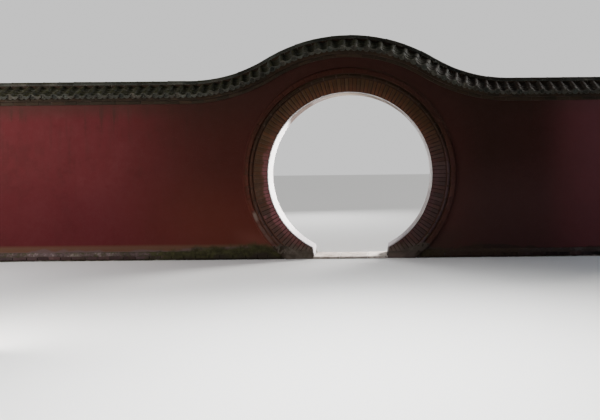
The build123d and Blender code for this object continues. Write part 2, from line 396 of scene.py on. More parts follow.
def moss_group():
    """Damp and moss: near the ground up to a reach, less of it far from the gate, and on what faces up."""
    inputs = {"Colour": WHITE, "Reach": 0.4, "Foot": 1.0, "Top": 0.5, "Size": 0.1}
    group, given, result = new_group("Damp and moss", inputs, {"Colour": "NodeSocketColor"})
    where = place_on_wall(group)
    x, _, height = split(group, where)
    uneven = product(group, less(group, noise_value(group, where, 0.7), 0.5), 0.5)
    wander = less(group, height, uneven)
    reached = math_node(group, "DIVIDE", wander, given["Reach"])
    near_ground = math_node(group, "SUBTRACT", 1.0, reached, clamp=True)
    by_gate = product(
        group,
        between(group, math_node(group, "ABSOLUTE", x), 4.2, 2.4, 0.3, 1.1),
        between(group, x, 0.9, 1.9, 1.0, 0.55),
    )
    foot = product(group, near_ground, given["Foot"], by_gate)
    up = split(group, normal_of(group))["Z"]
    top = product(group, between(group, up, 0.1, 0.8), given["Top"])
    lumpy = noise_value(group, in_sizes(group, where, given["Size"]), 1.0, 6.0, 0.65)
    mask = between(group, total(group, foot, top, lumpy), 0.7, 1.1)
    mottle = between(group, noise_value(group, where, 0.07, 4.0), 0.3, 0.7)
    moss = mix(group, mottle, DARK_MOSS, PALE_MOSS)
    # A darker band right at the ground, near the gate.
    moss = mix(group, product(group, between(group, wander, 0.1, 0.0), by_gate), moss, GROUND_BAND)
    moss = mix(group, between(group, x, 0.9, 1.9, 0.0, 0.75), moss, BROWN_MOSS)
    group.links.new(mix(group, mask, given["Colour"], moss), result["Colour"])
    return group


def mud_group():
    """Mud splashed on what stands beside the doorway, which fills the joints and evens the colour."""
    inputs = {"Colour": WHITE, "Reach": 0.5, "Amount": 0.9}
    group, given, result = new_group("Splashed mud", inputs, {"Colour": "NodeSocketColor"})
    where = place_on_wall(group)
    x, height = shaded_place(group)
    uneven = product(group, less(group, noise_value(group, where, 0.3, 5.0, 0.65), 0.5), 0.9)
    level = total(group, math_node(group, "DIVIDE", height, given["Reach"]), uneven)
    low = between(group, level, 1.0, 0.5)
    by_gate = between(group, math_node(group, "ABSOLUTE", x), 1.75, 1.25)
    mottle = between(group, noise_value(group, where, 0.12, 4.0), 0.35, 0.65)
    mud = mix(group, mottle, DARK_MUD, PALE_MUD)
    mud = mix(group, between(group, x, 0.3, 0.7, 0.0, 0.6), mud, RIGHT_MUD)
    dull = product(group, between(group, x, 0.85, 1.05, 0.0, 0.8), between(group, height, 0.26, 0.18))
    mud = mix(group, dull, mud, DULL_MUD)
    mask = product(group, low, by_gate, given["Amount"])
    group.links.new(mix(group, mask, given["Colour"], mud), result["Colour"])
    return group


def own_shade_group():
    """Each brick, stone or tile a little lighter, darker or redder than the next."""
    inputs = {"Colour": WHITE, "Spread": 0.3}
    group, given, result = new_group("Own shade", inputs, {"Colour": "NodeSocketColor"})
    tone = attribute(group, "tone")
    warm = math_node(group, "FRACT", product(group, tone, 7.31))
    hue = mix(group, warm, rgb(0.93, 1.0, 1.02), rgb(1.1, 0.95, 0.9))
    change = product(group, less(group, tone, 0.5), product(group, given["Spread"], 2.0))
    light = total(group, 1.0, change)
    grey = add(group, "ShaderNodeCombineXYZ", {"X": light, "Y": light, "Z": light}).outputs[0]
    shaded = mix(group, 1.0, given["Colour"], grey, "MULTIPLY")
    group.links.new(mix(group, 1.0, shaded, hue, "MULTIPLY"), result["Colour"])
    return group


def worn_edges_group():
    """Edges rubbed to another colour, in broken runs."""
    inputs = {"Colour": WHITE, "Worn": WHITE, "Amount": 0.5}
    group, given, result = new_group("Worn edges", inputs, {"Colour": "NodeSocketColor"})
    edge = product(group, attribute(group, "edge"), 0.6)
    broken = noise_value(group, place_on_wall(group), 0.045, 4.0, 0.65)
    mask = product(group, between(group, total(group, edge, broken), 0.62, 1.0), given["Amount"])
    group.links.new(mix(group, mask, given["Colour"], given["Worn"]), result["Colour"])
    return group


def grain_group():
    """Height of a gritty surface, from lumps and sand, and its pale specks."""
    inputs = {"Lumps": 0.08, "Grit": 0.012}
    outputs = {"Height": "NodeSocketFloat", "Specks": "NodeSocketFloat"}
    group, given, result = new_group("Grain", inputs, outputs)
    where = place_on_wall(group)
    lumpy = noise_value(group, in_sizes(group, where, given["Lumps"]), 1.0, 4.0, 0.6)
    gritty = noise_value(group, in_sizes(group, where, given["Grit"]), 1.0, 3.0, 0.6)
    height = total(group, product(group, lumpy, 0.65), product(group, gritty, 0.35))
    group.links.new(height, result["Height"])
    group.links.new(between(group, gritty, 0.56, 0.72), result["Specks"])
    return group


PATCHES = patches_group()
STREAKS = streaks_group()
MOSS = moss_group()
MUD = mud_group()
OWN_SHADE = own_shade_group()
WORN_EDGES = worn_edges_group()
GRAIN = grain_group()


# Materials

def new_material(name):
    """Material with only its shader and output, its node tree and its shader."""
    material = bpy.data.materials.new(name)
    material.use_nodes = True
    tree = material.node_tree
    shader = tree.nodes["Principled BSDF"]
    return material, tree, shader


def dress(tree, shader, colour, grain, roughness, depth, specks=None, gloss=0.1):
    """Colour, pale specks, roughness and relief of a material.

    The grain is given as the sizes of its lumps and grit, the roughness as its least and most, the depth as
    that of the relief, and the specks as their share and colour.
    """
    surface = use(tree, GRAIN, dict(zip(("Lumps", "Grit"), grain)))
    if specks:
        share, speck = specks
        colour = mix(tree, product(tree, surface["Specks"], share), colour, speck)
    tree.links.new(colour, shader.inputs["Base Color"])
    tree.links.new(between(tree, surface["Height"], 0.3, 0.7, *roughness), shader.inputs["Roughness"])
    bump = add(tree, "ShaderNodeBump", {"Height": surface["Height"], "Distance": depth, "Strength": 1.0})
    tree.links.new(bump.outputs["Normal"], shader.inputs["Normal"])
    shader.inputs["Specular IOR Level"].default_value = gloss


def patched(tree, main, pale, dark, size):
    """Colour in uneven patches of a size."""
    return use(tree, PATCHES, {"Main": main, "Faded": pale, "Dark": dark, "Size": size})["Colour"]


def mossed(tree, colour, reach, foot, top, size):
    """Colour with damp and moss up to a reach at its foot, and on its upper side."""
    inputs = {"Colour": colour, "Reach": reach, "Foot": foot, "Top": top, "Size": size}
    return use(tree, MOSS, inputs)["Colour"]


def muddied(tree, colour, reach, amount):
    """Colour with mud splashed up to a reach beside the doorway."""
    return use(tree, MUD, {"Colour": colour, "Reach": reach, "Amount": amount})["Colour"]


def own_shade(tree, colour, spread):
    """Colour that differs from one brick, stone or tile to the next."""
    return use(tree, OWN_SHADE, {"Colour": colour, "Spread": spread})["Colour"]


def worn(tree, colour, rubbed, amount):
    """Colour with rubbed edges."""
    return use(tree, WORN_EDGES, {"Colour": colour, "Worn": rubbed, "Amount": amount})["Colour"]


def foot_mortar(tree, x):
    """Pinkish mortar under the plaster's lower edge, dull on the right."""
    return mix(tree, between(tree, x, 0.5, 2.2), rgb(0.090, 0.058, 0.059), rgb(0.026, 0.017, 0.0135))


def gate_red_and_shade(tree, x, height):
    """Brown-red wash by the gate, darkened partly as painted shade, darker high up as painted shade, browner
    on the right.
    """
    left = mix(tree, between(tree, height, 0.4, 2.0), rgb(0.078, 0.0185, 0.0110), rgb(0.037, 0.0094, 0.0058))
    right = mix(tree, between(tree, height, 0.4, 2.4), rgb(0.056, 0.0235, 0.0190), rgb(0.036, 0.0125, 0.0088))
    return mix(tree, between(tree, x, -0.3, 1.2), left, right)


def rain_streaks_and_coping_shade(tree, colour):
    """Plaster with dark runs, most of them high up, and with painted shade under the coping."""
    streaks = use(tree, STREAKS, {"Width": 0.09, "Amount": 0.4})["Mask"]
    drop = attribute(tree, "drop")
    runs = product(tree, streaks, total(tree, between(tree, drop, 1.1, 0.0), 0.35))
    streaked = mix(tree, runs, colour, rgb(0.035, 0.017, 0.012))
    # Painted shade under the coping, ragged along the runs.
    coping_shade_edge = total(tree, drop, product(tree, streaks, -0.35))
    coping_shade = product(tree, between(tree, coping_shade_edge, 0.34, 0.0), 0.7)
    return mix(tree, coping_shade, streaked, rgb(0.045, 0.019, 0.014))


def wall_reds_and_painted_shade(tree, colour, x, height, from_ring):
    """Plaster reds: brown-red by the gate, and painted shade low on the far left, right of the gate and high
    round the ring.
    """
    # Painted shade: a darker red low on the far left.
    low_left = product(tree, between(tree, height, 1.8, 0.9, 0.0, 0.5), between(tree, x, -2.6, -3.8))
    colour = mix(tree, low_left, colour, rgb(0.062, 0.0080, 0.0105))
    # By the gate a brown-red wash, darkened partly as painted shade.
    by_gate = product(tree, between(tree, from_ring, 3.0, 0.4), 0.88)
    colour = mix(tree, by_gate, colour, gate_red_and_shade(tree, x, height))
    # Painted shade right of the gate, darker higher up.
    shade = product(tree, between(tree, x, 1.5, 2.7), between(tree, x, 4.6, 3.5), 0.75)
    dim_low, dim_high = rgb(0.039, 0.0185, 0.0170), rgb(0.0200, 0.0088, 0.0062)
    colour = mix(tree, shade, colour, mix(tree, between(tree, height, 0.9, 2.1), dim_low, dim_high))
    # Painted light at the far right: a paler, pinker red.
    colour = mix(tree, between(tree, x, 3.4, 4.6, 0.0, 0.7), colour, rgb(0.080, 0.028, 0.031))
    # Painted shade high round the ring.
    high = product(tree, between(tree, height, 1.9, 3.1), between(tree, from_ring, 2.4, 1.0), 0.6)
    return mix(tree, high, colour, rgb(0.024, 0.0105, 0.0072))


def ring_side_stains_and_painted_light(tree, colour, x, height, from_ring):
    """Plaster lighter low beside the ring on the left, painted light by the hood and in the grooves, an olive
    left foot.
    """
    # Low beside the ring: a lighter red on the left, a dull brown on the right.
    low_left_colour, low_right_colour = rgb(0.108, 0.0330, 0.0235), rgb(0.045, 0.0225, 0.0180)
    low = product(tree, between(tree, height, 0.65, 0.35), between(tree, from_ring, 0.6, 0.2), 0.75)
    colour = mix(tree, low, colour, mix(tree, between(tree, x, -0.5, 0.5), low_left_colour, low_right_colour))
    # Painted light high on the right against the hood, which pales the hood's shadow there.
    against_hood = product(tree, between(tree, from_ring, 0.045, 0.01), between(tree, height, 2.0, 2.6))
    painted_light_by_hood = product(tree, against_hood, between(tree, x, -0.2, 0.7, 0.0, 0.85))
    colour = mix(tree, painted_light_by_hood, colour, rgb(0.095, 0.050, 0.035))
    olive = product(tree, between(tree, height, 0.31, 0.24, 0.0, 0.6), between(tree, x, 0.5, -0.5))
    colour = mix(tree, olive, colour, rgb(0.098, 0.064, 0.036))
    # Groove floor lightened low down, painted light in its shade, and darkened high up, painted shade.
    groove_low, groove_high = rgb(0.084, 0.0375, 0.0240), rgb(0.040, 0.0215, 0.0135)
    groove = mix(tree, between(tree, height, 1.0, 2.4), groove_low, groove_high)
    return mix(tree, between(tree, from_ring, -0.003, -0.02, 0.0, 0.9), colour, groove)


def foot_lost(tree, colour, x, height):
    """Plaster whose lower edge is ragged, with mortar below it."""
    fine = noise_value(tree, place_on_wall(tree, (1.0, 1.0, 2.0)), 0.12, 5.0, 0.6)
    broad = noise_value(tree, place_on_wall(tree), 0.8, 2.0)
    ragged = total(tree, product(tree, fine, 0.06), between(tree, broad, 0.45, 0.62, 0.0, 0.07))
    lost = between(tree, less(tree, height, ragged), FOOTING_TOP + 0.015, FOOTING_TOP - 0.02)
    return mix(tree, product(tree, lost, 0.8), colour, foot_mortar(tree, x))


def red_plaster():
    """Oxblood limewash on plaster: faded patches, painted shade under the coping and across the wall, painted
    light in places, streaks and a damp foot.
    """
    material, tree, shader = new_material("red plaster")
    base = patched(
        tree,
        main=rgb(0.090, 0.0154, 0.0170),
        pale=rgb(0.098, 0.0188, 0.0205),
        dark=rgb(0.078, 0.0140, 0.0148),
        size=0.8,
    )
    x, height = shaded_place(tree)
    from_ring = attribute(tree, "from_ring")
    shaded = wall_reds_and_painted_shade(tree, rain_streaks_and_coping_shade(tree, base), x, height, from_ring)
    stained = ring_side_stains_and_painted_light(tree, shaded, x, height, from_ring)
    mossy = mossed(tree, foot_lost(tree, stained, x, height), 0.34, 0.95, 0.0, 0.25)
    colour = muddied(tree, mossy, 0.3, 0.25)
    dress(tree, shader, colour, (0.11, 0.014), (0.74, 0.9), 0.004, (0.12, rgb(0.2, 0.08, 0.07)))
    return material


def brick_base(tree, x, height, main, pale, dark, high, inner, cool):
    """Old brick in patches: darker high up, which is painted shade, warmer at the ring's inner edge, cooler
    on the right.
    """
    colour = patched(tree, main, pale, dark, 0.6)
    # Darker high up: painted shade.
    colour = mix(tree, between(tree, height, 1.2, 2.7, 0.0, 0.9), colour, high)
    if inner:
        colour = mix(tree, product(tree, attribute(tree, "inner"), 0.8), colour, inner)
    low_left = product(tree, between(tree, height, 1.2, 0.8, 0.0, 0.4), between(tree, x, -0.6, -1.1))
    colour = mix(tree, low_left, colour, PINKISH_BRICK)
    cooled = product(tree, between(tree, x, -0.2, 1.2, 0.0, cool), between(tree, height, 2.5, 1.5))
    return mix(tree, cooled, colour, COOL_BRICK)


def brick_washed(tree, colour, x, height, wash, wash_share):
    """Brick under a flaking wash, fullest at the ring's inner edge and on the left, duller on the right."""
    patchy = noise_value(tree, place_on_wall(tree), 0.22, 5.0, 0.7)
    share = product(tree, attribute(tree, "inner"), between(tree, height, 1.7, 1.0, 0.3, 0.42))
    share = total(tree, share, wash_share - 0.5)
    left_low = product(
        tree,
        between(tree, x, 0.8, -0.8, 0.4, 0.93),
        between(tree, height, 2.5, 1.5),
        between(tree, height, 0.3, 0.7, 0.4, 1.0),
    )
    kept = product(tree, between(tree, total(tree, patchy, share), 0.42, 0.6), left_low)
    dulled = mix(tree, 0.6, wash, rgb(0.040, 0.026, 0.034))
    return mix(tree, kept, colour, mix(tree, between(tree, x, -0.5, 0.8), wash, dulled))


def brick_spotted(tree, colour, x, height, amount):
    """Brick with lichen spots low on the right."""
    spots = between(tree, noise_value(tree, place_on_wall(tree), 0.15, 4.0), 0.56, 0.66)
    low_right = product(tree, between(tree, height, 1.5, 0.8), between(tree, x, 0.4, 1.0))
    return mix(tree, product(tree, low_right, amount, spots), colour, SPOTTED_BRICK)


def brick(name, main, pale, dark, high, moss,
          inner=None, wash=None, spread=0.2, rubbed=0.2, mud=0.9, cool=0.0):
    """Old gritty brick: its own shade, a flaking wash, paint, worn edges, moss, and mud at its foot.

    The moss is given as how much there is at the foot and on top, and the wash as its colour and share.
    """
    material, tree, shader = new_material(name)
    x, height = shaded_place(tree)
    colour = own_shade(tree, brick_base(tree, x, height, main, pale, dark, high, inner, cool), spread)
    if wash:
        colour = brick_washed(tree, colour, x, height, *wash)
    colour = mix(tree, attribute(tree, "painted"), colour, gate_red_and_shade(tree, x, height))
    colour = mix(tree, attribute(tree, "bare"), colour, BARE_BRICK)
    colour = brick_spotted(tree, worn(tree, colour, pale, rubbed), x, height, 0.6 * cool)
    colour = muddied(tree, mossed(tree, colour, 0.4, *moss, 0.09), 0.32, mud)
    dress(tree, shader, colour, (0.03, 0.006), (0.78, 0.94), 0.003, (0.2, pale))
    return material


def dark_outer_foot(tree, colour, x, height, outer):
    """Mortar that is dark near the ground, away from the ring."""
    uneven = noise_value(tree, place_on_wall(tree), 0.08)
    level = total(tree, height, between(tree, x, -0.5, 0.5, 0.0, 0.11), uneven)
    away = between(tree, math_node(tree, "ABSOLUTE", x), 1.12, 1.3, 0.0, 0.9)
    return mix(tree, product(tree, away, between(tree, level, 0.76, 0.66)), colour, outer)


def mortar(name, main, pale, dark, pale_and_lit_joints=None, right=None, outer=None, mud_reach=0.5, moss_foot=0.6):
    """Sandy lime mortar.

    It may have other colours: lighter in the ring's left joints, partly painted light, on the right, and low
    down away from the ring.
    """
    material, tree, shader = new_material(name)
    colour = patched(tree, main, pale, dark, 0.25)
    x, height = shaded_place(tree)
    if right:
        colour = mix(tree, between(tree, x, 0.5, 1.6, 0.0, 0.8), colour, right)
    # Lighter joints on the ring's left side: partly painted light over their shade.
    if pale_and_lit_joints:
        middle = product(tree, between(tree, height, 0.85, 1.15), between(tree, height, 2.7, 2.1))
        colour = mix(tree, product(tree, middle, between(tree, x, -0.6, -1.3)), colour, pale_and_lit_joints)
    colour = muddied(tree, mossed(tree, colour, 0.4, moss_foot, 0.2, 0.07), mud_reach, 0.9)
    if outer:
        colour = dark_outer_foot(tree, colour, x, height, outer)
    dress(tree, shader, colour, (0.02, 0.004), (0.85, 0.98), 0.003, (0.3, pale))
    return material


def soffit_painted_shade(tree, colour, x, up):
    """Lining darkened where it faces down, painted shade on the soffit, most of all on the left side of the
    opening.
    """
    uneven = product(tree, noise_value(tree, place_on_wall(tree), 0.4, 4.0), 0.2)
    soffit = total(tree, up, uneven)
    # Painted shade where the lining faces down, deepest on the left.
    stained = between(tree, soffit, -0.42, -0.75, 0.0, 0.9)
    deep_soffit_shade = product(tree, between(tree, x, 0.2, 0.5), between(tree, soffit, -0.47, -0.60, 0.0, 0.97))
    soffit_shade_colour = mix(tree, between(tree, x, -0.05, 0.42), rgb(0.195, 0.145, 0.098), rgb(0.054, 0.034, 0.027))
    return mix(tree, math_node(tree, "MAXIMUM", stained, deep_soffit_shade), colour, soffit_shade_colour)


def lining_plaster():
    """Pale pinkish lime plaster, with faint streaks, painted shade on the soffit and the side facing left,
    and a rubbed, dirty foot.
    """
    material, tree, shader = new_material("lining plaster")
    base = patched(
        tree,
        main=rgb(0.78, 0.74, 0.73),
        pale=rgb(0.84, 0.82, 0.81),
        dark=rgb(0.66, 0.59, 0.57),
        size=0.5,
    )
    streaks = use(tree, STREAKS, {"Width": 0.05, "Amount": 0.3})["Mask"]
    streaked = mix(tree, streaks, base, rgb(0.3, 0.22, 0.19))
    x, _, up = split(tree, normal_of(tree))
    soffit_shaded = soffit_painted_shade(tree, streaked, x, up)
    # Painted shade on the side of the opening that faces left.
    shaded_side_facing_left = product(tree, between(tree, x, 0.2, -0.6), between(tree, up, 0.0, 0.3, 0.45, 0.85))
    dulled = mix(tree, shaded_side_facing_left, soffit_shaded, rgb(0.25, 0.215, 0.215))
    height = split(tree, place_on_wall(tree))["Z"]
    dirty = mix(tree, between(tree, height, 0.7, 0.35, 0.0, 0.8), dulled, rgb(0.25, 0.225, 0.235))
    colour = mossed(tree, dirty, 0.25, 0.55, 0.0, 0.05)
    dress(tree, shader, colour, (0.06, 0.008), (0.68, 0.86), 0.002, gloss=0.02)
    return material


def clay_tile(name, moss_top):
    """Grey clay tile, bleached and lichened, with moss where it lies open."""
    material, tree, shader = new_material(name)
    base = patched(
        tree,
        main=rgb(0.036, 0.036, 0.029),
        pale=rgb(0.062, 0.062, 0.050),
        dark=rgb(0.022, 0.022, 0.017),
        size=0.3,
    )
    bleached = worn(tree, own_shade(tree, base, 0.35), rgb(0.080, 0.078, 0.065), 0.3)
    mossy = mossed(tree, bleached, 0.3, 0.0, moss_top, 0.12)
    spots = between(tree, noise_value(tree, place_on_wall(tree), 0.025, 2.0), 0.66, 0.72)
    colour = mix(tree, product(tree, spots, 0.45), mossy, rgb(0.2, 0.205, 0.15))
    dress(tree, shader, colour, (0.03, 0.005), (0.62, 0.85), 0.002)
    return material


def rough_stone(name, main, pale, dark, moss_foot, moss_top):
    """Dressed grey stone with its own shade, pale arrises, damp and moss."""
    material, tree, shader = new_material(name)
    shaded = own_shade(tree, patched(tree, main, pale, dark, 0.3), 0.22)
    colour = mossed(tree, worn(tree, shaded, pale, 0.6), 0.3, moss_foot, moss_top, 0.08)
    dress(tree, shader, colour, (0.05, 0.006), (0.7, 0.9), 0.004, (0.3, pale))
    return material


RED_PLASTER = red_plaster()
# Each brick's high colour darkens it high on the wall: painted shade.
RING_BRICK = brick(
    "ring brick",
    main=rgb(0.058, 0.030, 0.0175),
    pale=rgb(0.088, 0.047, 0.034),
    dark=rgb(0.044, 0.031, 0.0135),
    high=rgb(0.051, 0.0265, 0.0115),
    inner=rgb(0.100, 0.0425, 0.0245),
    moss=(0.3, 0.35),
    wash=(MAUVE_WASH, 0.36),
    spread=0.16,
    rubbed=0.3,
    cool=0.65,
)
INNER_HOOD_BRICK = brick(
    "inner hood brick",
    main=rgb(0.050, 0.0240, 0.0155),
    pale=rgb(0.068, 0.0335, 0.023),
    dark=rgb(0.034, 0.0180, 0.0110),
    high=rgb(0.0185, 0.0110, 0.0052),
    moss=(0.3, 0.4),
    wash=(RED_WASH, 0.12),
    spread=0.14,
    cool=0.85,
)
OUTER_HOOD_BRICK = brick(
    "outer hood brick",
    main=rgb(0.052, 0.0215, 0.0145),
    pale=rgb(0.072, 0.032, 0.023),
    dark=rgb(0.036, 0.0165, 0.011),
    high=rgb(0.028, 0.0125, 0.007),
    moss=(0.3, 0.45),
    wash=(RED_WASH, 0.55),
    spread=0.12,
    rubbed=0.1,
)
# The corbel brick's dark colour is partly painted shade.
CORBEL_BRICK = brick(
    "corbel brick",
    main=rgb(0.028, 0.0195, 0.0125),
    pale=rgb(0.044, 0.033, 0.021),
    dark=rgb(0.017, 0.0130, 0.0080),
    high=rgb(0.028, 0.0195, 0.0125),
    moss=(0.0, 0.4),
    mud=0.0,
)
FOOT_BRICK = brick(
    "foot brick",
    main=rgb(0.024, 0.0145, 0.0150),
    pale=rgb(0.060, 0.043, 0.041),
    dark=rgb(0.012, 0.0085, 0.0085),
    high=rgb(0.024, 0.0145, 0.0150),
    moss=(1.0, 0.4),
    spread=0.5,
    rubbed=0.45,
    mud=0.0,
)
RING_MORTAR = mortar(
    "ring mortar",
    main=rgb(0.020, 0.0115, 0.0100),
    pale=rgb(0.034, 0.021, 0.017),
    dark=rgb(0.013, 0.008, 0.007),
    pale_and_lit_joints=rgb(0.064, 0.039, 0.028),
    mud_reach=0.2,
)
JOINT_MORTAR = mortar(
    "joint mortar",
    main=rgb(0.036, 0.023, 0.018),
    pale=rgb(0.060, 0.040, 0.032),
    dark=rgb(0.022, 0.015, 0.011),
)
ROOF_MORTAR = mortar(
    "roof mortar",
    main=rgb(0.15, 0.14, 0.12),
    pale=rgb(0.24, 0.225, 0.2),
    dark=rgb(0.07, 0.065, 0.055),
)
LINING_PLASTER = lining_plaster()
ROOF_TILE = clay_tile("roof tile", 0.5)
RIDGE_TILE = clay_tile("ridge tile", 0.45)
FOOTING_STONE = rough_stone(
    "footing stone",
    main=rgb(0.19, 0.175, 0.15),
    pale=rgb(0.33, 0.31, 0.28),
    dark=rgb(0.09, 0.08, 0.065),
    moss_foot=0.7,
    moss_top=0.35,
)
FOOT_MORTAR = mortar(
    "foot mortar",
    main=rgb(0.088, 0.059, 0.059),
    pale=rgb(0.21, 0.165, 0.155),
    dark=rgb(0.045, 0.031, 0.030),
    right=rgb(0.024, 0.016, 0.0125),
    mud_reach=0.08,
    moss_foot=1.5,
)
FOOT_RENDER = mortar(
    "foot render",
    main=rgb(0.070, 0.056, 0.044),
    pale=PALE_MUD,
    dark=DARK_MUD,
    right=rgb(0.054, 0.041, 0.034),
    outer=rgb(0.026, 0.0185, 0.0115),
    mud_reach=0.14,
    moss_foot=0.2,
)
THRESHOLD_STONE = rough_stone(
    "threshold stone",
    main=rgb(0.36, 0.34, 0.31),
    pale=rgb(0.5, 0.48, 0.45),
    dark=rgb(0.2, 0.18, 0.155),
    moss_foot=0.25,
    moss_top=0.05,
)


# Shapes: each maker returns points, faces, the tone of each point and how near an edge it is

# The noise is shifted by the clock unless it is given a seed
noise.seed_set(NOISE_SEED)


def seeded(label):
    """Random numbers that are the same each run for one label."""
    return np.random.default_rng(sum((place + 1) * ord(letter) for place, letter in enumerate(label)))


def lumps(points, size, fine=False):
    """Smooth random shift along each axis, mostly from -1 to 1, for points in metres."""
    flat = (np.asarray(points).reshape(-1, 3) / size).tolist()
    shifts = np.array([noise.noise_vector(point) for point in flat])
    if fine:
        finer = (np.asarray(points).reshape(-1, 3) * 2.7 / size + 9.1).tolist()
        shifts = shifts + 0.4 * np.array([noise.noise_vector(point) for point in finer])
    return shifts.reshape(np.shape(points))


def block_lattice(cells):
    """Corners on the outside of a block that is cut into cells, and the quads between them."""
    index = {}
    quads = []
    for axis in range(3):
        across, along = (axis + 1) % 3, (axis + 2) % 3
        for side in (0, cells[axis]):
            for a in range(cells[across]):
                for b in range(cells[along]):
                    loop = []
                    for da, db in ((0, 0), (1, 0), (1, 1), (0, 1)):
                        corner = [side] * 3
                        corner[across] = a + da
                        corner[along] = b + db
                        loop.append(index.setdefault(tuple(corner), len(index)))
                    quads.append(loop if side else loop[::-1])
    return np.array(list(index)), np.array(quads)


def blocks(centres, sizes, rounding, cells, label, wear=0.0015, tilt=0.6):
    """Rounded blocks in a flat layout, each with its own worn faces, a slight turn and a tone."""
    chance = seeded(label)
    count = len(centres)
    sizes = np.broadcast_to(sizes, (count, 3))
    corners, quads = block_lattice(cells)
    cells = np.array(cells)
    radius = rounding * chance.uniform(0.7, 1.5, (count, 1, 1))
    half = sizes[:, None, :] / 2
    inner = half - radius
    points = np.clip((corners - 1) / np.maximum(cells - 2, 1) * 2 - 1, -1, 1) * inner
    points = np.where(corners == 0, -half, np.where(corners == cells, half, points))
    kept = np.clip(points, -inner, inner)
    out = points - kept
    reach = np.linalg.norm(out, axis=2, keepdims=True)
    points = kept + out / np.maximum(reach, TINY) * radius
    own = np.arange(count)[:, None, None] * 3.7 + chance.uniform(0, 50)
    points = points + lumps(points + own, 0.035, True) * wear * chance.uniform(0.6, 1.6, (count, 1, 1))
    angles = np.radians(chance.normal(0, tilt, (count, 1)))
    turned = points.copy()
    turned[..., 0] = points[..., 0] * np.cos(angles) - points[..., 1] * np.sin(angles)
    turned[..., 1] = points[..., 0] * np.sin(angles) + points[..., 1] * np.cos(angles)
    on_border = (corners == 0) | (corners == cells)
    near_border = (corners <= 1) | (corners >= cells - 1)
    edge = np.where(on_border.sum(1) >= 2, 1.0, np.where(near_border.sum(1) >= 2, 0.35, 0.0))
    tone = np.repeat(chance.random(count), len(corners))
    faces = (quads[None] + (np.arange(count) * len(corners))[:, None, None]).reshape(-1, 4)
    return turned + np.asarray(centres)[:, None, :], faces, tone, np.tile(edge, count)


def slab_faces(rows, columns):
    """Quads of a closed slab between two grids of points: both sides and the edge all round."""
    count = rows * columns
    place = np.arange(count).reshape(rows, columns)
    near = np.stack([place[:-1, :-1], place[1:, :-1], place[1:, 1:], place[:-1, 1:]], -1).reshape(-1, 4)
    rim = np.concatenate([place[0, :-1], place[:-1, -1], place[-1, :0:-1], place[:0:-1, 0]])
    after = np.roll(rim, -1)
    edge = np.stack([rim, after, after + count, rim + count], -1)
    return np.concatenate([near, near[:, ::-1] + count, edge])


def slabs(near, far, label="slab"):
    """Closed slabs between near and far grids, given as (slab, row, column, xyz)."""
    count, rows, columns = near.shape[:3]
    grid = rows * columns
    points = np.concatenate([near.reshape(count, grid, 3), far.reshape(count, grid, 3)], 1)
    faces = (slab_faces(rows, columns)[None] + (np.arange(count) * 2 * grid)[:, None, None]).reshape(-1, 4)
    border = np.zeros((rows, columns))
    border[[0, -1]] = 1.0
    border[:, [0, -1]] = 1.0
    tone = np.repeat(seeded(label).random(count), 2 * grid)
    return points, faces, tone, np.tile(np.tile(border.reshape(-1), 2), count)


def slab(near, far):
    """Closed slab between a near and a far grid, given as (row, column, xyz)."""
    return slabs(near[None], far[None])


def grid_of(first, second):
    """Two rulings as grids, with the first along the rows."""
    return np.meshgrid(np.asarray(first, float), np.asarray(second, float), indexing="ij")


# Layouts: from a flat layout to the frame

def round_centre(angle, radius, y):
    """Points at an angle from the top and a radius about the opening's centre, at a depth."""
    y = np.broadcast_to(y, np.shape(angle))
    return np.stack([radius * np.sin(angle), y, CENTRE_HEIGHT + radius * np.cos(angle)], -1)


def round_ring(points, middle_radius):
    """Flat (run along the middle radius, radius, y) bent round the opening's centre."""
    return round_centre(points[..., 0] / middle_radius, points[..., 1], points[..., 2])


def radius_of(points):
    """How far points are from the opening's centre, seen from the front."""
    return np.hypot(points[..., 0], points[..., 2] - CENTRE_HEIGHT)


def circle_side(radius, height):
    """How far a circle round the opening's centre stands from the middle at a height, or 0 past its ends."""
    return np.sqrt(np.maximum(radius**2 - (CENTRE_HEIGHT - height) ** 2, 0.0))


def angle_down_to(height, radius):
    """Angle from the top where a circle round the opening's centre comes down to a height."""
    return math.pi - math.acos((CENTRE_HEIGHT - height) / radius)


def over_ground(points):
    """Points that would be below ground are brought up to it."""
    points[..., 2] = np.maximum(points[..., 2], 0.0)
    return points


def doorway_side(height, spare=0.0):
    """How far the leaning side of the doorway stands from its middle, at a height."""
    return DOORWAY_HALF_WIDTH + spare + JAMB_LEAN * height


def doorway_top(radius, spare):
    """Height where the doorway's side meets a circle round the opening's centre."""
    half = doorway_side(0.0, spare)
    turn = CENTRE_HEIGHT - half * JAMB_LEAN
    square = 1.0 + JAMB_LEAN**2
    return (turn - math.sqrt(turn**2 - square * (half**2 + CENTRE_HEIGHT**2 - radius**2))) / square


def clear_of_doorway(points, spare):
    """Points that would stand in the doorway are brought to its side."""
    x, z = points[..., 0], points[..., 2]
    low = z < CENTRE_HEIGHT - OPENING_RADIUS / 2
    points[..., 0] = np.where(low, np.sign(x) * np.maximum(np.abs(x), doorway_side(z, spare)), x)
    return points


